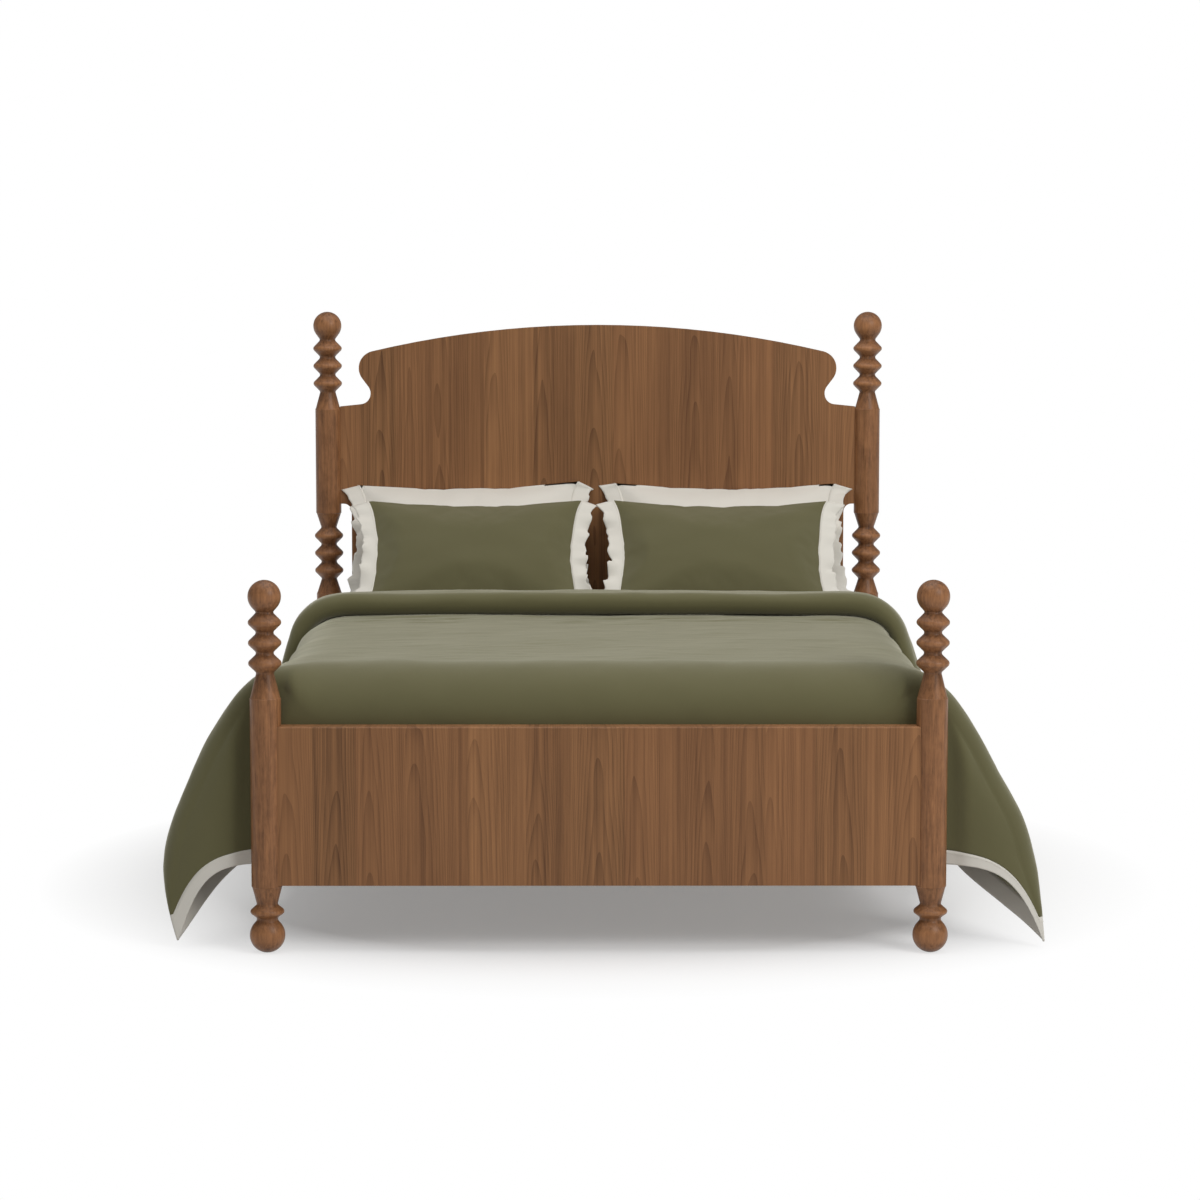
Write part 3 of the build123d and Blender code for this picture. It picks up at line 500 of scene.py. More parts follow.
def repeated(tree, given, points, shape, rotation=None):
    """Copies of a shape at points, made real and given their material."""
    inputs = {"Points": points, "Instance": shape}
    if rotation is not None:
        inputs["Rotation"] = rotation
    copies = shader_node(tree, "GeometryNodeInstanceOnPoints", inputs).outputs[0]
    real = shader_node(tree, "GeometryNodeRealizeInstances", {0: copies}).outputs[0]
    painted = {"Geometry": real, "Material": given["Material"]}
    made = shader_node(tree, "GeometryNodeSetMaterial", painted).outputs[0]
    shader_node(tree, "NodeGroupOutput", {"Geometry": made})


def stitch_tree():
    """Stitches of a given length and pitch along each line."""
    tree, given = repeating_tree("stitch_rows", ("Pitch", "Length", "Thickness"))
    line = shader_node(tree, "GeometryNodeMeshToCurve", {0: given["Geometry"]}).outputs[0]
    spacing = {"Curve": line, "Length": given["Pitch"]}
    stops = shader_node(tree, "GeometryNodeCurveToPoints", spacing, mode="LENGTH")
    sphere = {"Segments": 6, "Rings": 4, "Radius": 0.5}
    ball = shader_node(tree, "GeometryNodeMeshUVSphere", sphere).outputs[0]
    lengths = {0: given["Thickness"], 1: given["Thickness"], 2: given["Length"]}
    size = shader_node(tree, "ShaderNodeCombineXYZ", lengths).outputs[0]
    stitch = shader_node(tree, "GeometryNodeTransform", {"Geometry": ball, "Scale": size}).outputs[0]
    repeated(tree, given, stops.outputs["Points"], stitch, stops.outputs["Rotation"])
    return tree


def screw_tree():
    """Pan heads standing on points."""
    tree, given = repeating_tree("screw_heads", ("Radius", "Height"))
    dots = shader_node(tree, "GeometryNodeMeshToPoints", {0: given["Geometry"]}).outputs[0]
    crown = maths(tree, "MULTIPLY", given["Radius"], SCREW_CROWN)
    sizes = {"Vertices": 20, "Radius Top": crown, "Radius Bottom": given["Radius"], "Depth": given["Height"]}
    head = shader_node(tree, "GeometryNodeMeshCone", sizes).outputs[0]
    repeated(tree, given, dots, head)
    return tree


def grown(name, tree, points, edges, sizes, material):
    """Plain mesh that a tree grows from points and edges."""
    mesh = bpy.data.meshes.new(name)
    mesh.from_pydata([tuple(point) for point in points], edges, [])
    seed = bpy.data.objects.new(name, mesh)
    bpy.context.scene.collection.objects.link(seed)
    modifier = seed.modifiers.new("Repeat", "NODES")
    modifier.node_group = tree
    values = dict(sizes, Material=material)
    for socket in tree.interface.items_tree:
        if socket.in_out == "INPUT" and socket.name in values:
            modifier[socket.identifier] = values[socket.name]
    result = bpy.data.meshes.new_from_object(seed.evaluated_get(bpy.context.evaluated_depsgraph_get()))
    seed.modifiers.clear()
    seed.data = result
    return seed


def sewn_rows(name, seams, bedding):
    """Row of stitches along each seam."""
    points, edges = [], []
    for seam in seams:
        start = len(points)
        points += list(seam)
        edges += [(start + index, start + index + 1) for index in range(len(seam) - 1)]
    pitch = bedding.stitch_pitch
    sizes = {"Pitch": pitch, "Length": pitch * STITCH_SHARE, "Thickness": STITCH_THICKNESS}
    return grown(name, stitch_tree(), points, edges, sizes, finish_of("cream_cotton"))


def slat_screws():
    """Two screws through each end of each slat into its ledger."""
    points = []
    for node in frame["nodes"]:
        if not node.startswith("slat_") or "ledger" in node:
            continue
        low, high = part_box(node)
        middle = (low.y + high.y) / 2
        for ledger in LEDGERS:
            inner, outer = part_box(ledger)
            x = (inner.x + outer.x) / 2
            z = high.z + SCREW_HEIGHT / 2
            points += [(x, middle + offset, z) for offset in (-SCREW_OFFSET, SCREW_OFFSET)]
    sizes = {"Radius": SCREW_RADIUS, "Height": SCREW_HEIGHT}
    return grown("slat_screws", screw_tree(), points, [], sizes, finish_of("zinc_steel"))



# Duvet: half sections from the hem up to the middle of the bed, in metres

SIDE_FALL = (
    (0.864, 0.205), (0.872, 0.290), (0.864, 0.375), (0.846, 0.455), (0.825, 0.530), (0.803, 0.600),
    (0.773, 0.656), (0.705, 0.684), (0.560, 0.688), (0.380, 0.690), (0.190, 0.690), (0.0, 0.690),
)
LEFT_CORNER = (
    (1.030, 0.010), (1.058, 0.110), (1.066, 0.200), (1.046, 0.290), (1.004, 0.395), (0.944, 0.520),
    (0.862, 0.636), (0.765, 0.684), (0.580, 0.689), (0.380, 0.690), (0.190, 0.690), (0.0, 0.690),
)
RIGHT_CORNER = (
    (1.092, 0.006), (1.080, 0.105), (1.069, 0.195), (1.036, 0.305), (0.982, 0.410), (0.918, 0.528),
    (0.842, 0.630), (0.752, 0.680), (0.580, 0.689), (0.380, 0.690), (0.190, 0.690), (0.0, 0.690),
)
GRID_STEP = 0.009

# The flared corners hang behind the front posts, and the middle is tucked in behind the footboard
CORNER_RUN = 0.36
WING_FRONT = POST_BACK + 0.0075
TUCK_FRONT = FOOTBOARD_BACK + 0.001
TUCK_LOW = 0.432
TUCK_DRAW = 0.97
FOLD_PITCH = 0.39
CREST_ROUND = 0.125
WING_ROUND = 0.038
WING_START, WING_RUN = 0.66, 0.14
WING_STEP, WING_STEP_RUN = 0.735, 0.04
WING_INNER = 0.806
WING_INNER_LOW = 0.202
WING_INNER_TOP = 0.60
WING_HOLLOW = 0.016
FREE_START, FREE_RUN = 0.845, 0.05
HEM_ROUND = 0.08
HEM_RUN = 0.22
FRONT_HEM, FRONT_HEIGHT = 0.01, 0.62

# Thickness of the cover on its sides and on top, and of its flat border
COVER_SIDE = 0.024
COVER_TOP = 0.046
BORDER_THICKNESS = 0.003
MATTRESS_HALF = 0.80

TURNDOWN_FRONT = 0.082
TURNDOWN_BACK = 0.560
TURNDOWN_LOFT = 0.060
TURNDOWN_THINNING = 0.86
TURNDOWN_WANDER = 0.006


def control_places():
    """Places along the control points, about one grid step apart on the side of the bed."""
    half = np.array(SIDE_FALL)
    spans = np.linalg.norm(np.diff(half, axis=0), axis=1)
    places = [0.0]
    for index, span in enumerate(spans):
        steps = max(2, round(span / GRID_STEP))
        places += [index + (step + 1) / steps for step in range(steps)]
    return np.array(places)


def section_points(y, half_places, bedding):
    """Outer line of the cover on a plane across the bed: (X, Z), from the left hem to the right hem."""
    share = float(ease(1 - (y - WING_FRONT) / CORNER_RUN))
    weights = spline_weights(len(SIDE_FALL), half_places)
    height = np.linspace(1.0, 0.0, len(SIDE_FALL)) ** 1.5
    halves = []
    for sign, corner in ((-1, LEFT_CORNER), (1, RIGHT_CORNER)):
        side = np.array(SIDE_FALL)
        swing = np.sin(2 * pi * (y - WING_FRONT) / FOLD_PITCH + sign + 0.6 * height) * height
        side[:, 0] += bedding.fold * swing
        side[:, 1] += bedding.fold * 0.5 * swing * (height > 0.5)
        shares = np.full(len(side), share)
        shares[0] = share**1.5
        control = side + (np.array(corner) - side) * shares[:, None]
        half = weights @ control
        half[:, 0] *= sign
        halves.append(half)
    return np.concatenate([halves[0], halves[1][-2::-1]])


def outward(section):
    """Unit normals of a section line, away from the bed."""
    along = np.gradient(section, axis=0)
    normal = np.stack([-along[:, 1], along[:, 0]], axis=1)
    return normal / np.linalg.norm(normal, axis=1, keepdims=True)


def foot_edge(section):
    """Share of each column that is wing, the round of its front edge, and the plane that it meets."""
    reach = np.abs(section[:, 0])
    wing = ease((reach - WING_START) / WING_RUN)
    turn = CREST_ROUND + (WING_ROUND - CREST_ROUND) * wing
    run = np.concatenate([[0], np.cumsum(np.linalg.norm(np.diff(section, axis=0), axis=1))])
    from_hem = np.minimum(run, run[-1] - run)
    turn = turn * (HEM_ROUND + (1 - HEM_ROUND) * ease(from_hem / HEM_RUN))
    plane = TUCK_FRONT + (WING_FRONT - TUCK_FRONT) * ease((reach - WING_STEP) / WING_STEP_RUN)
    return wing, turn, plane


def front_rows(edge_section, count_edge, count_wall):
    """Rows from the corner edges in over the wings, and down behind the footboard in the middle."""
    normals = outward(edge_section)
    wing, turn, plane = foot_edge(edge_section)
    rows = []
    for step in range(1, count_edge + 1):
        angle = step / count_edge * pi / 2
        inset = turn * (1 - cos(angle))
        spot = edge_section - normals * inset[:, None]
        y = plane + turn * (1 - sin(angle))
        rows.append(np.stack([spot[:, 0], y, spot[:, 1]], axis=1))
    last = rows[-1]
    sides = np.sign(last[:, 0])
    height = np.clip((edge_section[:, 1] - FRONT_HEM) / FRONT_HEIGHT, 0, 1)
    tuck_x = last[:, 0] * TUCK_DRAW
    inner_x = np.where(wing > 0.02, sides * WING_INNER, tuck_x)
    inner_x = tuck_x + (inner_x - tuck_x) * wing
    wing_z = WING_INNER_LOW + (WING_INNER_TOP - WING_INNER_LOW) * height
    inner_z = TUCK_LOW + (wing_z - TUCK_LOW) * wing
    for step in range(1, count_wall + 1):
        t = step / count_wall
        drop = (1 - height) ** 1.5 * wing
        rise = (1 - drop) * t + drop * (1 - (1 - t) ** 4)
        x = last[:, 0] + (inner_x - last[:, 0]) * t
        z = last[:, 2] + (inner_z - last[:, 2]) * rise
        free = ease((np.abs(x) - FREE_START) / FREE_RUN) * wing
        y = plane - WING_HOLLOW * sin(pi * t) * free
        rows.append(np.stack([x, y, z], axis=1))
    return rows[::-1]


def wrinkle_heights(points, bedding):
    """How far each point of the cover stands off its smooth form."""
    flat = points.reshape(-1, 3)
    swell = rough(flat * np.array([1.0, 1.2, 1.0]), 3.2, 1, 2)
    creases = rough(flat * np.array([1.0, 3.2, 1.0]), 6.5, 2, 3)
    ripples = rough(flat * np.array([0.55, 5.0, 1.0]), 9.0, 3, 2)
    near_roll = np.exp(-((flat[:, 1] - TURNDOWN_FRONT + 0.07) / 0.12) ** 2)
    on_top = ease((MATTRESS_HALF - np.abs(flat[:, 0])) / 0.12)
    height = bedding.wrinkle * (0.8 * swell + 0.35 * np.abs(creases))
    height += bedding.wrinkle * 0.9 * ripples * near_roll * on_top
    return height.reshape(points.shape[:2])


def make_cover(bedding):
    """Outer grid of the cover: rows along the bed from its tuck to its fold, columns across."""
    half_places = control_places()
    crest = WING_FRONT + WING_ROUND
    stations = np.arange(crest, TURNDOWN_BACK + 1e-6, GRID_STEP)
    sections = [section_points(y, half_places, bedding) for y in stations]
    _, turn, plane = foot_edge(sections[0])
    start = plane + turn
    side_rows = []
    for y, section in zip(stations, sections):
        share = (y - crest) / (stations[-1] - crest)
        row_y = start + (stations[-1] - start) * share
        side_rows.append(np.stack([section[:, 0], row_y, section[:, 1]], axis=1))
    return np.array(front_rows(sections[0], 10, 22) + side_rows)


def make_duvet(bedding):
    """Padded cover with a flat border along each side hem, and the lines of its two seams."""
    olive = finish_of("duvet_sateen")
    cream = finish_of("cream_cotton")
    grid = make_cover(bedding)
    reach = np.abs(grid[:, :, 0])
    normals = grid_normals(grid)
    if normals[-1, grid.shape[1] // 2, 2] < 0:
        normals = -normals
    grid = grid + normals * wrinkle_heights(grid, bedding)[:, :, None]
    shells = []

    run = travelled(grid, 1)
    total = run[:, -1:]
    from_hem = np.minimum(run, total - run)
    thick = COVER_SIDE + (COVER_TOP - COVER_SIDE) * ease((MATTRESS_HALF - reach) / 0.10)
    seam = bedding.flange * 0.96
    thick = np.minimum(thick, 0.004 + 0.9 * np.maximum(from_hem - seam, 0))
    inner = grid - normals * thick[:, :, None]
    inside = from_hem[-1] > seam
    first = int(np.argmax(inside))
    last = len(inside) - int(np.argmax(inside[::-1]))
    padded = slice(first, last)
    shells.append((*shell_mesh(grid[:, padded], inner[:, padded]), olive))

    for columns in (slice(0, first + 1), slice(last - 1, None)):
        outer = grid[:, columns]
        under = outer - normals[:, columns] * BORDER_THICKNESS
        shells.append((*shell_mesh(outer, under), cream))
    seams = [grid[:, column] + normals[:, column] * 0.0008 for column in (first - 1, last)]
    return new_piece("duvet_cover", shells), seams


def make_turndown(bedding):
    """Folded band across the head end: a padded loop over the cover, with a flat flange at each hem."""
    olive = finish_of("duvet_sateen")
    cream = finish_of("cream_cotton")
    half_places = control_places()
    half_loft = TURNDOWN_LOFT / 2
    turns = np.linspace(radians(8), pi / 2, 9)
    front = [(TURNDOWN_FRONT + half_loft * (1 - cos(turn)), half_loft * sin(turn)) for turn in turns]
    back = [(TURNDOWN_BACK - half_loft * (1 - cos(turn)), half_loft * sin(turn)) for turn in turns[::-1]]
    middle = np.arange(front[-1][0] + GRID_STEP, back[0][0] - GRID_STEP / 2, GRID_STEP)
    places = front + [(y, half_loft) for y in middle] + back
    upper, lower, loose = [], [], []
    for y, swell in places:
        thin = 1 - TURNDOWN_THINNING * ease((y - TURNDOWN_FRONT - 0.03) / (TURNDOWN_BACK - TURNDOWN_FRONT))
        swell = swell * thin
        section = section_points(y, half_places, bedding)
        normals = outward(section)
        run = np.concatenate([[0], np.cumsum(np.linalg.norm(np.diff(section, axis=0), axis=1))])
        from_hem = np.minimum(run, run[-1] - run)
        closing = ease((from_hem - bedding.flange) / 0.07)
        side = 1 - 0.2 * ease((np.abs(section[:, 0]) - 0.72) / 0.1)
        level = half_loft * thin * side + 0.001
        half = np.maximum(swell * closing * side, 0.0022)
        drift = np.array([noise.noise(Vector((x * 2.4, z * 2.4, 4.0))) for x, z in section])
        wander = TURNDOWN_WANDER * drift
        pull = wander * ease(1 - (y - TURNDOWN_FRONT) / 0.2)
        for grid, height in ((upper, level + half), (lower, level - half)):
            spot = section + normals * height[:, None]
            grid.append(np.stack([spot[:, 0], y + pull, spot[:, 1]], axis=1))
        loose.append(from_hem)
    upper, lower = np.array(upper), np.array(lower)
    normals = grid_normals(upper)
    if normals[len(places) // 2, upper.shape[1] // 2, 2] < 0:
        normals = -normals
    flat = upper.reshape(-1, 3)
    swell = rough(flat * np.array([1.0, 1.6, 1.0]), 3.0, 7, 2)
    creases = rough(flat * np.array([0.7, 3.6, 1.0]), 6.0, 8, 3)
    height = bedding.wrinkle * (0.8 * swell + 0.5 * creases)
    top_only = np.array([swell_here for _, swell_here in places])[:, None] / half_loft
    upper = upper + normals * (height.reshape(upper.shape[:2]) * top_only)[:, :, None]
    inside = loose[0] > bedding.flange
    first = int(np.argmax(inside))
    last = len(inside) - int(np.argmax(inside[::-1]))
    shells = [(*shell_mesh(upper[:, first:last], lower[:, first:last]), olive)]
    skip = int(np.argmax(loose[0] > 0.012))
    for columns in (slice(skip, first + 1), slice(last - 1, len(inside) - skip)):
        shells.append((*shell_mesh(upper[:, columns], lower[:, columns]), cream))
    return new_piece("duvet_turndown", shells)


# Pillows

FRONT_PILLOW = (0.624, 0.405)
BACK_PILLOW = (0.648, 0.450)
PILLOW_THICKNESS = 0.112
PILLOW_WAIST = 0.022
PILLOW_SAG = 0.004
PILLOW_SET = 0.78
PILLOW_TURNS = {
    "front_pillow_left": 0.2, "front_pillow_right": -0.3, "back_pillow_left": 1.3, "back_pillow_right": -0.2,
}
PILLOW_ROWS = 40
PILLOW_COLUMNS = 60
FLAT_RISE = 0.012
CREASE_HEIGHT = 0.0075
CREASE_REACH = 0.06
DENT_HEIGHT = 0.0035
BOARD_GAP = 0.0015


def flat_envelope(width, length):
    """Points of a nearly flat pillow: front and back grids that share their edge."""
    across = np.linspace(-1, 1, PILLOW_COLUMNS + 1)
    along = np.linspace(-1, 1, PILLOW_ROWS + 1)
    x, y = np.meshgrid(across, along)
    rise = FLAT_RISE * (1 - x**2) * (1 - y**2)
    front = np.stack([x * width / 2, y * length / 2, rise], axis=2)
    back = front * np.array([1, 1, -1])
    return front, back


def plumped(front, back, seed, frames):
    """Front and back grids after cloth simulation under pressure."""
    rows, columns = front.shape[:2]
    number = np.arange(rows * columns).reshape(rows, columns)
    under = number.copy()
    inner = np.zeros((rows, columns), bool)
    inner[1:-1, 1:-1] = True
    under[inner] = rows * columns + np.arange(inner.sum())
    points = np.concatenate([front.reshape(-1, 3), back[inner]])
    points[:, 2] += 0.002 * rough(points, 9.0, seed, 3) * (np.abs(points[:, 2]) > 1e-6)
    faces = grid_faces(rows, columns)
    faces += [tuple(int(under.ravel()[index]) for index in face[::-1]) for face in faces]
    mesh = bpy.data.meshes.new("plumping")
    mesh.from_pydata(points.tolist(), [], faces)
    pillow = bpy.data.objects.new("plumping", mesh)
    scene = bpy.context.scene
    scene.collection.objects.link(pillow)
    modifier = pillow.modifiers.new("Cloth", "CLOTH")
    cloth = modifier.settings
    cloth.quality = 6
    cloth.mass = 0.2
    cloth.tension_stiffness = 18
    cloth.compression_stiffness = 12
    cloth.shear_stiffness = 6
    cloth.bending_stiffness = 0.35
    cloth.use_pressure = True
    cloth.uniform_pressure_force = 3.2
    cloth.effector_weights.gravity = 0.0
    modifier.collision_settings.use_collision = False
    modifier.point_cache.frame_start = 1
    modifier.point_cache.frame_end = frames
    for frame_number in range(1, frames + 1):
        scene.frame_set(frame_number)
    shape = bpy.data.meshes.new_from_object(pillow.evaluated_get(bpy.context.evaluated_depsgraph_get()))
    made = np.zeros(len(points) * 3)
    shape.vertices.foreach_get("co", made)
    made = made.reshape(-1, 3)
    bpy.data.objects.remove(pillow)
    bpy.data.meshes.remove(shape)
    scene.frame_set(1)
    return made[number], made[under]


def fitted(front, back, width, length, thickness, seed):
    """Both grids scaled to the pillow's size about its middle, drawn towards its cut outline, and creased."""
    both = np.concatenate([front.reshape(-1, 3), back.reshape(-1, 3)])
    low, high = both.min(0), both.max(0)
    factor = np.array([width, length, thickness]) / (high - low)
    middle = (low + high) / 2
    made = []
    x, y = np.meshgrid(np.linspace(-1, 1, front.shape[1]), np.linspace(-1, 1, front.shape[0]))
    for grid in ((front - middle) * factor, (back - middle) * factor):
        waist = x**3 * PILLOW_WAIST * (1 - y**6)
        sag = y**5 * PILLOW_SAG * (1 - x**2)
        cut = np.stack([x * width / 2 - waist, y * length / 2 - sag, grid[..., 2]], axis=2)
        made.append(grid + (cut - grid) * PILLOW_SET)
    inner = (1 - x**8) * (1 - y**8)
    made[0][..., 2] += pulled_creases(made[0], width, seed) * inner
    return made


def pulled_creases(grid, width, seed):
    """Creases that run in from the side seams and die out, with a soft dent across the middle."""
    flat = grid.reshape(-1, 3)
    from_side = width / 2 - np.abs(flat[:, 0])
    fan = flat[:, 1] * (1 + 1.6 * from_side) * 26.0
    sides = np.sign(flat[:, 0]) * 7.0
    creases = np.array([noise.noise(Vector((turn, side, seed * 3.0))) for turn, side in zip(fan, sides)])
    dents = rough(flat * np.array([1.0, 1.6, 0.0]), 5.0, seed + 20, 2)
    height = CREASE_HEIGHT * creases * np.exp(-from_side / CREASE_REACH) + DENT_HEIGHT * dents
    return height.reshape(grid.shape[:2])


def pillow_flange(seam, sign, bedding, seed):
    """Flat border beyond a side seam, waving more towards its edge, its corners drawn in a little."""
    steps = 10
    rows = []
    ends = np.linspace(-1, 1, len(seam))
    wave = np.array([noise.noise(Vector((point[1] * 15.0, sign * 3.0, seed))) for point in seam])
    ruffle = np.array([noise.noise(Vector((point[1] * 34.0, sign * 5.0, seed + 4))) for point in seam])
    for step in range(steps + 1):
        out = step / steps
        lying = 1 - 0.10 * np.abs(wave) * out - 0.10 * (1 - ends**2) + 0.30 * ruffle * out
        x = seam[:, 0] + sign * bedding.flange * out * lying
        y = seam[:, 1] + out * (0.004 * ruffle - 0.013 * ends**5)
        z = seam[:, 2] + out**1.3 * (0.036 * wave + 0.016 * ruffle - 0.006 * ends**4) + 0.001
        rows.append(np.stack([x, y, z], axis=1))
    return np.array(rows)


def make_pillow(name, node, size, face, seed, bedding):
    """Plump pillow with a flange at each side, leaning where its node is."""
    low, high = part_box(node)
    width, length = size
    front, back = flat_envelope(width, length)
    front, back = plumped(front, back, seed, bedding.pillow_frames)
    front, back = fitted(front, back, width, length, PILLOW_THICKNESS, seed)
    centre = np.array((low + high) / 2)
    centre[2] += (length - FRONT_PILLOW[1]) / 2
    level = np.array([1.0, 0.0, 0.0])
    slope = np.array([0.0, cos(bedding.recline), sin(bedding.recline)])
    lean = np.array([0.0, -sin(bedding.recline), cos(bedding.recline)])
    turn = radians(PILLOW_TURNS[node])

    def placed(grid):
        swung = grid[..., 0:1] * cos(turn) - grid[..., 1:2] * sin(turn)
        raised = grid[..., 0:1] * sin(turn) + grid[..., 1:2] * cos(turn)
        grid = np.concatenate([swung, raised, grid[..., 2:3]], axis=-1)
        spots = centre + grid[..., 0:1] * level + grid[..., 1:2] * slope + grid[..., 2:3] * lean
        spots[..., 1] = np.minimum(spots[..., 1], HEADBOARD_FRONT - BOARD_GAP)
        spots[..., 2] = np.maximum(spots[..., 2], MATTRESS_HIGH.z + 0.001)
        return spots

    shells = []
    seams = []
    for grid, flip in ((front, False), (back, True)):
        spots = np.stack([travelled(grid, 1), travelled(grid, 0)], axis=2).reshape(-1, 2)
        faces = grid_faces(*grid.shape[:2], flip=flip)
        shells.append((placed(grid).reshape(-1, 3), faces, spots, finish_of(face)))
    for column, sign in ((0, -1), (-1, 1)):
        border = placed(pillow_flange(front[:, column], sign, bedding, seed))
        seams.append(border[1] + lean * 0.0012)
        under = border - lean * BORDER_THICKNESS
        if sign > 0:
            border, under = border[::-1], under[::-1]
        shells.append((*shell_mesh(border, under), finish_of("cream_cotton")))
    return new_piece(name, shells), seams


# Mattress

MATTRESS_CORNER = 0.060
PANEL_EDGE = 0.045
PANEL_RING = 0.018
PANEL_STEPS = ((0.045, 0.0), (0.030, 0.003), (0.018, 0.009), (0.010, 0.017))
TAPE_RADIUS = 0.006
TAPE_HEIGHT = 0.026
BORDER_EDGE = 0.034
CHANNELS = 4
CHANNEL_BULGE = 0.004
QUILT_PITCH = 0.14
QUILT_DEPTH = 0.007
QUILT_SOFTNESS = 0.012


def rounded_rectangle(half_x, half_y, radius, steps_round, step):
    """Points round a rectangle with rounded corners, the same number whatever its size."""
    points = []
    corners = ((1, 1, 0), (-1, 1, pi / 2), (-1, -1, pi), (1, -1, 3 * pi / 2))
    size = MATTRESS_HIGH - MATTRESS_LOW
    counts = (round(size.x / step), round(size.y / step))
    for index, (sx, sy, start) in enumerate(corners):
        middle = np.array([sx * (half_x - radius), sy * (half_y - radius)])
        angles = np.linspace(start, start + pi / 2, steps_round)
        arc = [middle + radius * np.array([cos(angle), sin(angle)]) for angle in angles]
        points += arc
        following = corners[(index + 1) % 4]
        target = np.array([following[0] * (half_x - radius), following[1] * (half_y - radius)])
        target = target + radius * np.array([cos(following[2]), sin(following[2])])
        count = counts[index % 2]
        points += [arc[-1] + (target - arc[-1]) * (k / count) for k in range(1, count)]
    return np.array(points)


def quilting(points):
    """Depth of the stitched diamonds on the panels of the mattress."""
    diagonals = np.stack([points[:, 0] + points[:, 1], points[:, 0] - points[:, 1]])
    away = np.abs((diagonals / QUILT_PITCH + 0.5) % 1.0 - 0.5) * QUILT_PITCH
    return QUILT_DEPTH * np.exp(-(away.min(0) / QUILT_SOFTNESS))


def make_mattress():
    """Deep mattress: quilted panels, a taped edge round each, and a border with stitched channels."""
    size = MATTRESS_HIGH - MATTRESS_LOW
    centre = (MATTRESS_HIGH + MATTRESS_LOW) / 2
    edge = list(PANEL_STEPS)
    for angle in np.linspace(0.4, pi - 0.4, 6):
        edge.append((TAPE_RADIUS - TAPE_RADIUS * sin(angle), TAPE_HEIGHT - TAPE_RADIUS * cos(angle)))
    border = []
    for share in np.arange(1, 40) / 40:
        bulge = CHANNEL_BULGE * abs(sin(pi * CHANNELS * share)) ** 0.6
        border.append((2 * CHANNEL_BULGE - bulge, BORDER_EDGE + (size.z - 2 * BORDER_EDGE) * share))
    profile = edge + border + [(inset, size.z - z) for inset, z in edge[::-1]]
    half_x, half_y = size.x / 2, size.y / 2
    panel = [PANEL_EDGE + PANEL_RING * k for k in range(1, int((half_x - MATTRESS_CORNER) / PANEL_RING))]
    rings = []
    for inset, z in [(inset, 0.0) for inset in panel[::-1]] + profile + [(inset, size.z) for inset in panel]:
        radius = max(MATTRESS_CORNER - inset, 0.004)
        ring = rounded_rectangle(half_x - inset, half_y - inset, radius, 7, 0.02)
        heights = np.full(len(ring), z)
        if inset >= PANEL_EDGE:
            sunk = quilting(ring) * min(1.0, (inset - PANEL_EDGE) / 0.03)
            heights += sunk if z == 0.0 else -sunk
        rings.append(np.column_stack([ring + np.array([centre.x, centre.y]), heights + MATTRESS_LOW.z]))
    rings = np.array(rings)
    closed = np.concatenate([rings, rings[:, :1]], axis=1)
    rows, columns = closed.shape[:2]
    spots = np.stack([travelled(closed, 1), travelled(closed, 0)], axis=2).reshape(-1, 2)
    faces = grid_faces(rows, columns)
    faces.append(tuple(range(columns - 2, -1, -1)))
    faces.append(tuple((rows - 1) * columns + column for column in range(columns - 1)))
    return new_piece("mattress_body", [(closed.reshape(-1, 3), faces, spots, finish_of("mattress_ticking"))])


class BED_OT_finishes(bpy.types.Operator):
    """Make the finishes and give one to each node of the frame whose slot has a finish"""

    bl_idname = "bed.finishes"
    bl_label = "Finish the frame"

    def execute(self, context):
        timber = context.scene.bed_timber
        bedding = context.scene.bed_bedding
        turned = turned_finish("turned_walnut", timber)
        upright = veneer_finish("upright_veneer", timber, "X", "Z")
        lengthways = veneer_finish("rail_veneer", timber, "Z", "Y")
        crosswise = softwood_finish("slat_softwood", timber, "X")
        lengthwise = softwood_finish("ledger_softwood", timber, "Y")
        legs = softwood_finish("leg_softwood", timber, "Z")
        black = steel_finish("black_steel", (0.028, 0.028, 0.030), 0.0, 0.42)
        zinc = steel_finish("zinc_steel", (0.56, 0.57, 0.60), 1.0, 0.34)
        cloths = (
            ("duvet_sateen", bedding.olive, 0.0011, 0.65),
            ("pillow_sateen", bedding.olive_pillow, 0.0011, 0.35),
            ("cream_cotton", bedding.cream, 0.0012, 0.1),
            ("mattress_ticking", bedding.ticking, 0.0018, 0.1),
        )
        for name, colour, thread, sheen in cloths:
            cloth_finish(name, colour, thread, sheen)
        by_slot = {
            "turned_walnut": turned, "walnut_veneer": upright, "black_steel": black, "zinc_steel": zinc,
        }
        by_start = {
            "side_rail": lengthways, "slat_ledger": lengthwise, "slat_": crosswise,
            "centre_rail": lengthwise, "centre_leg": legs,
        }
        for name, node in frame["nodes"].items():
            finish = by_slot.get(SLOTS[name])
            if SLOTS[name] in ("pale_softwood", "walnut_veneer"):
                finish = next((f for start, f in by_start.items() if name.startswith(start)), finish)
            if finish is None:
                continue
            node.data.materials.clear()
            node.data.materials.append(finish)
        return {"FINISHED"}


class BED_OT_screws(bpy.types.Operator):
    """Screw the slats to their ledgers"""

    bl_idname = "bed.screws"
    bl_label = "Screw down the slats"

    def execute(self, context):
        piece = slat_screws()
        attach(piece, "frame")
        return {"FINISHED"}


class BED_OT_duvet(bpy.types.Operator):
    """Lay the duvet, folded down at the head"""

    bl_idname = "bed.duvet"
    bl_label = "Lay the duvet"

    def execute(self, context):
        bedding = context.scene.bed_bedding
        cover, seams = make_duvet(bedding)
        for piece in (cover, make_turndown(bedding)):
            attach(piece, "duvet")
            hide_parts("duvet")
        stitches = sewn_rows("duvet_stitches", seams, bedding)
        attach(stitches, "duvet")
        return {"FINISHED"}


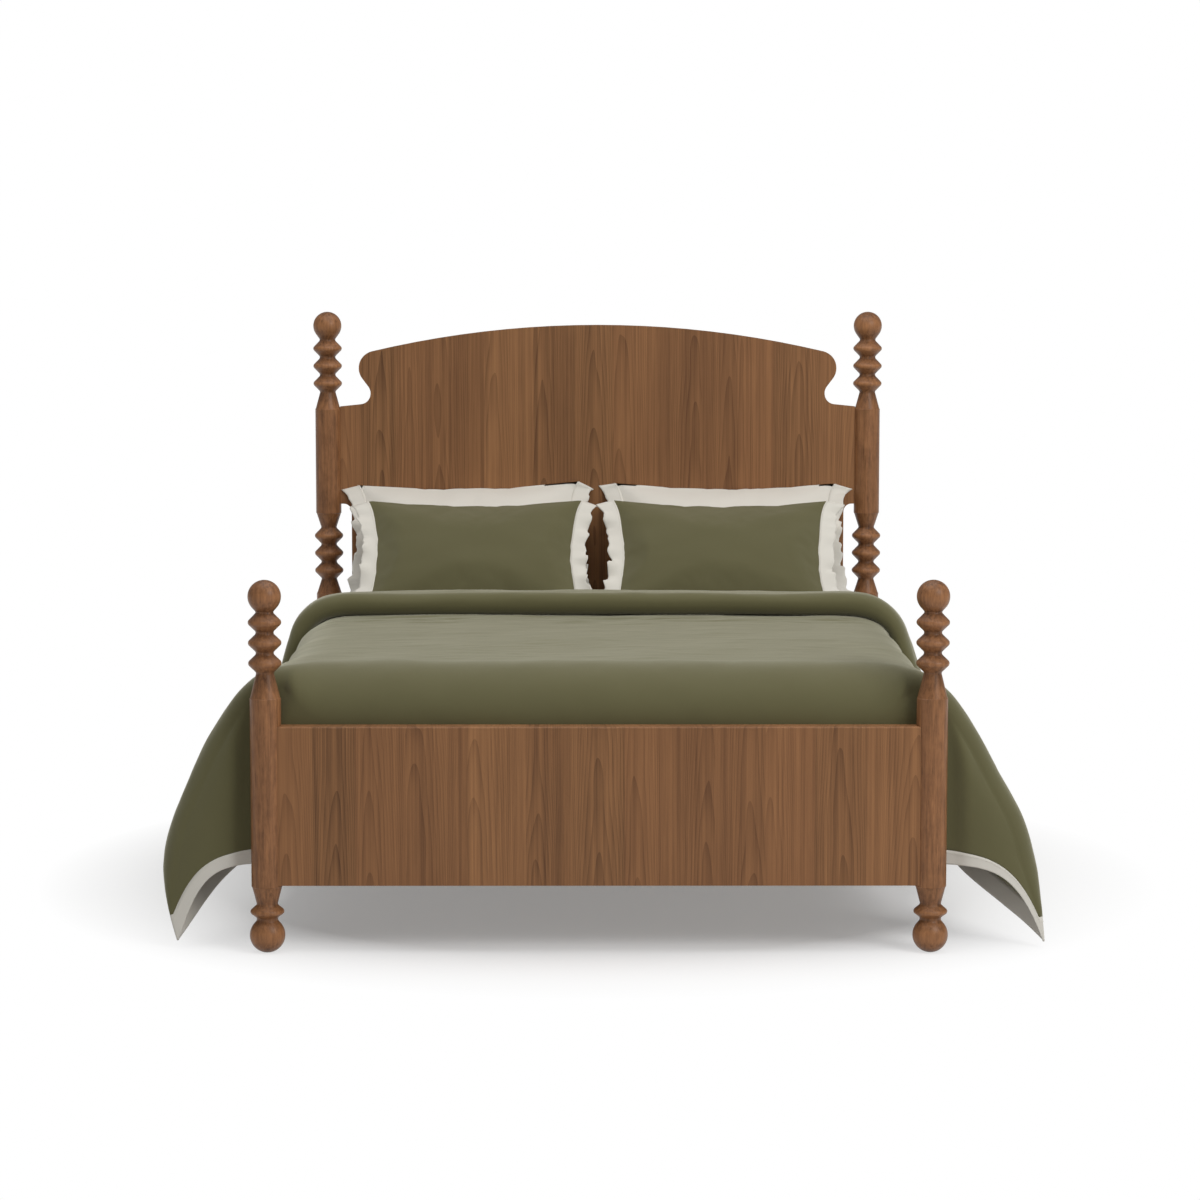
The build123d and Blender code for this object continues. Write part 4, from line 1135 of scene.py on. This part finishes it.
class BED_OT_pillows(bpy.types.Operator):
    """Plump the pillows and lean them on the headboard"""

    bl_idname = "bed.pillows"
    bl_label = "Set the pillows"

    def execute(self, context):
        bedding = context.scene.bed_bedding
        kinds = (
            ("front_pillow", FRONT_PILLOW, "pillow_sateen", "pillow_cotton"),
            ("back_pillow", BACK_PILLOW, "cream_cotton", "cream_cotton"),
        )
        for row, (kind, size, face, slot) in enumerate(kinds):
            for place, side in enumerate(("left", "right")):
                node = f"{kind}_{side}"
                name = f"{side}_{kind}"
                piece, seams = make_pillow(name, node, size, face, 1 + 2 * row + place, bedding)
                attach(piece, node)
                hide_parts(node)
                stitches = sewn_rows(f"{name}_stitches", seams, bedding)
                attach(stitches, node)
        return {"FINISHED"}


class BED_OT_mattress(bpy.types.Operator):
    """Make the mattress"""

    bl_idname = "bed.mattress"
    bl_label = "Make the mattress"

    def execute(self, context):
        piece = make_mattress()
        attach(piece, "mattress")
        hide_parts("mattress")
        return {"FINISHED"}


class BED_OT_stage(bpy.types.Operator):
    """Set up floor, light and camera"""

    bl_idname = "bed.stage"
    bl_label = "Set the stage"

    def execute(self, context):
        stage = context.scene.bed_stage
        make_floor()
        make_light(context.scene, stage)
        make_camera(context.scene, stage)
        return {"FINISHED"}


FLOOR_HALF = 40.0
FLOOR_GREY = 0.78
FLOOR_GLOW = 0.235
WHITE_FROM, WHITE_BY = 1.02, 1.5


def make_floor():
    """White floor that keeps the bed's shadow and runs into the white background."""
    corners = [(x * FLOOR_HALF, y * FLOOR_HALF, 0) for x, y in ((-1, -1), (1, -1), (1, 1), (-1, 1))]
    mesh = bpy.data.meshes.new("floor")
    mesh.from_pydata(corners, [], [(0, 1, 2, 3)])
    floor = bpy.data.objects.new("floor", mesh)
    bpy.context.scene.collection.objects.link(floor)
    material = bpy.data.materials.new("studio_floor")
    material.use_nodes = True
    tree = material.node_tree
    tree.nodes.clear()
    path = shader_node(tree, "ShaderNodeLightPath").outputs
    seen = maths(tree, "MAXIMUM", path["Is Camera Ray"], path["Is Glossy Ray"])
    place = shader_node(tree, "ShaderNodeTexCoord").outputs["Object"]
    squeezed = stretched(tree, place, (1.0, 0.95, 1.0))
    away = shader_node(tree, "ShaderNodeVectorMath", {0: squeezed}, operation="LENGTH").outputs["Value"]
    far = spread(tree, away, WHITE_FROM, WHITE_BY)
    diffuse = shader_node(tree, "ShaderNodeBsdfDiffuse", {"Color": opaque([FLOOR_GREY] * 3)})
    glow = shader_node(tree, "ShaderNodeEmission", {"Strength": maths(tree, "MULTIPLY", seen, FLOOR_GLOW)})
    near = shader_node(tree, "ShaderNodeAddShader", {0: diffuse.outputs[0], 1: glow.outputs[0]}).outputs[0]
    white = shader_node(tree, "ShaderNodeEmission", {"Strength": 1.0}).outputs[0]
    share = maths(tree, "MULTIPLY", seen, far)
    both = shader_node(tree, "ShaderNodeMixShader", {0: share, 1: near, 2: white})
    shader_node(tree, "ShaderNodeOutputMaterial", {"Surface": both.outputs[0]})
    mesh.materials.append(material)


def make_light(scene, stage):
    """Even white surroundings, a large soft lamp on the right and one overhead."""
    world = bpy.data.worlds.new("studio")
    world.use_nodes = True
    tree = world.node_tree
    tree.nodes.clear()
    path = shader_node(tree, "ShaderNodeLightPath").outputs
    seen = maths(tree, "MAXIMUM", path["Is Camera Ray"], path["Is Transmission Ray"])
    strength = maths(tree, "MULTIPLY_ADD", seen, 1.0 - stage.sky, stage.sky)
    sky = shader_node(tree, "ShaderNodeBackground", {"Color": (1, 1, 1, 1), "Strength": strength})
    shader_node(tree, "ShaderNodeOutputWorld", {"Surface": sky.outputs[0]})
    scene.world = world
    lamps = (
        ("key", stage.key, 3.2, (4.4, -5.2, 4.6), (0.0, -0.4, 0.5)),
        ("top", stage.top, 4.5, (0.0, -0.6, 4.8), (0.0, 0.0, 0.0)),
    )
    for name, power, size, place, target in lamps:
        lamp = bpy.data.lights.new(name, "AREA")
        lamp.energy = power
        lamp.size = size
        holder = bpy.data.objects.new(name, lamp)
        holder.location = place
        holder.rotation_mode = "QUATERNION"
        holder.rotation_quaternion = (Vector(target) - Vector(place)).to_track_quat("-Z", "Y")
        scene.collection.objects.link(holder)


def make_camera(scene, stage):
    """Camera at the foot of the bed, almost square on to it."""
    camera = bpy.data.cameras.new("camera")
    camera.lens = stage.lens
    camera.sensor_width = 36.0
    camera.clip_end = 200.0
    holder = bpy.data.objects.new("camera", camera)
    holder.location = (stage.camera_side, -stage.camera_distance, stage.camera_height)
    holder.rotation_euler = (pi / 2 - stage.camera_pitch, 0.0, -stage.camera_yaw)
    scene.collection.objects.link(holder)
    scene.camera = holder
    scene.view_settings.view_transform = "Standard"


class BED_PT_panel(bpy.types.Panel):
    """Settings and steps of the bed"""

    bl_label = "Panel bed"
    bl_idname = "BED_PT_panel"
    bl_space_type = "VIEW_3D"
    bl_region_type = "UI"
    bl_category = "Bed"

    def draw(self, context):
        for settings in (context.scene.bed_timber, context.scene.bed_bedding, context.scene.bed_stage):
            box = self.layout.box()
            for name in settings.__annotations__:
                box.prop(settings, name)
        for step in STEPS:
            self.layout.operator(step.bl_idname)


STEPS = (BED_OT_finishes, BED_OT_screws, BED_OT_mattress, BED_OT_duvet, BED_OT_pillows, BED_OT_stage)
CLASSES = (TimberSettings, BeddingSettings, StageSettings, *STEPS, BED_PT_panel)


def register():
    """Register the classes and hang the settings on the scene."""
    for kind in CLASSES:
        bpy.utils.register_class(kind)
    bpy.types.Scene.bed_timber = PointerProperty(type=TimberSettings)
    bpy.types.Scene.bed_bedding = PointerProperty(type=BeddingSettings)
    bpy.types.Scene.bed_stage = PointerProperty(type=StageSettings)


def unregister():
    """Take the settings and classes away again."""
    del bpy.types.Scene.bed_stage
    del bpy.types.Scene.bed_bedding
    del bpy.types.Scene.bed_timber
    for kind in reversed(CLASSES):
        bpy.utils.unregister_class(kind)


def main():
    """Make the whole bed."""
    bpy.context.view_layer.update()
    register()
    bpy.ops.bed.finishes()
    bpy.ops.bed.screws()
    bpy.ops.bed.mattress()
    bpy.ops.bed.duvet()
    bpy.ops.bed.pillows()
    bpy.ops.bed.stage()


if __name__ == "__main__":
    main()
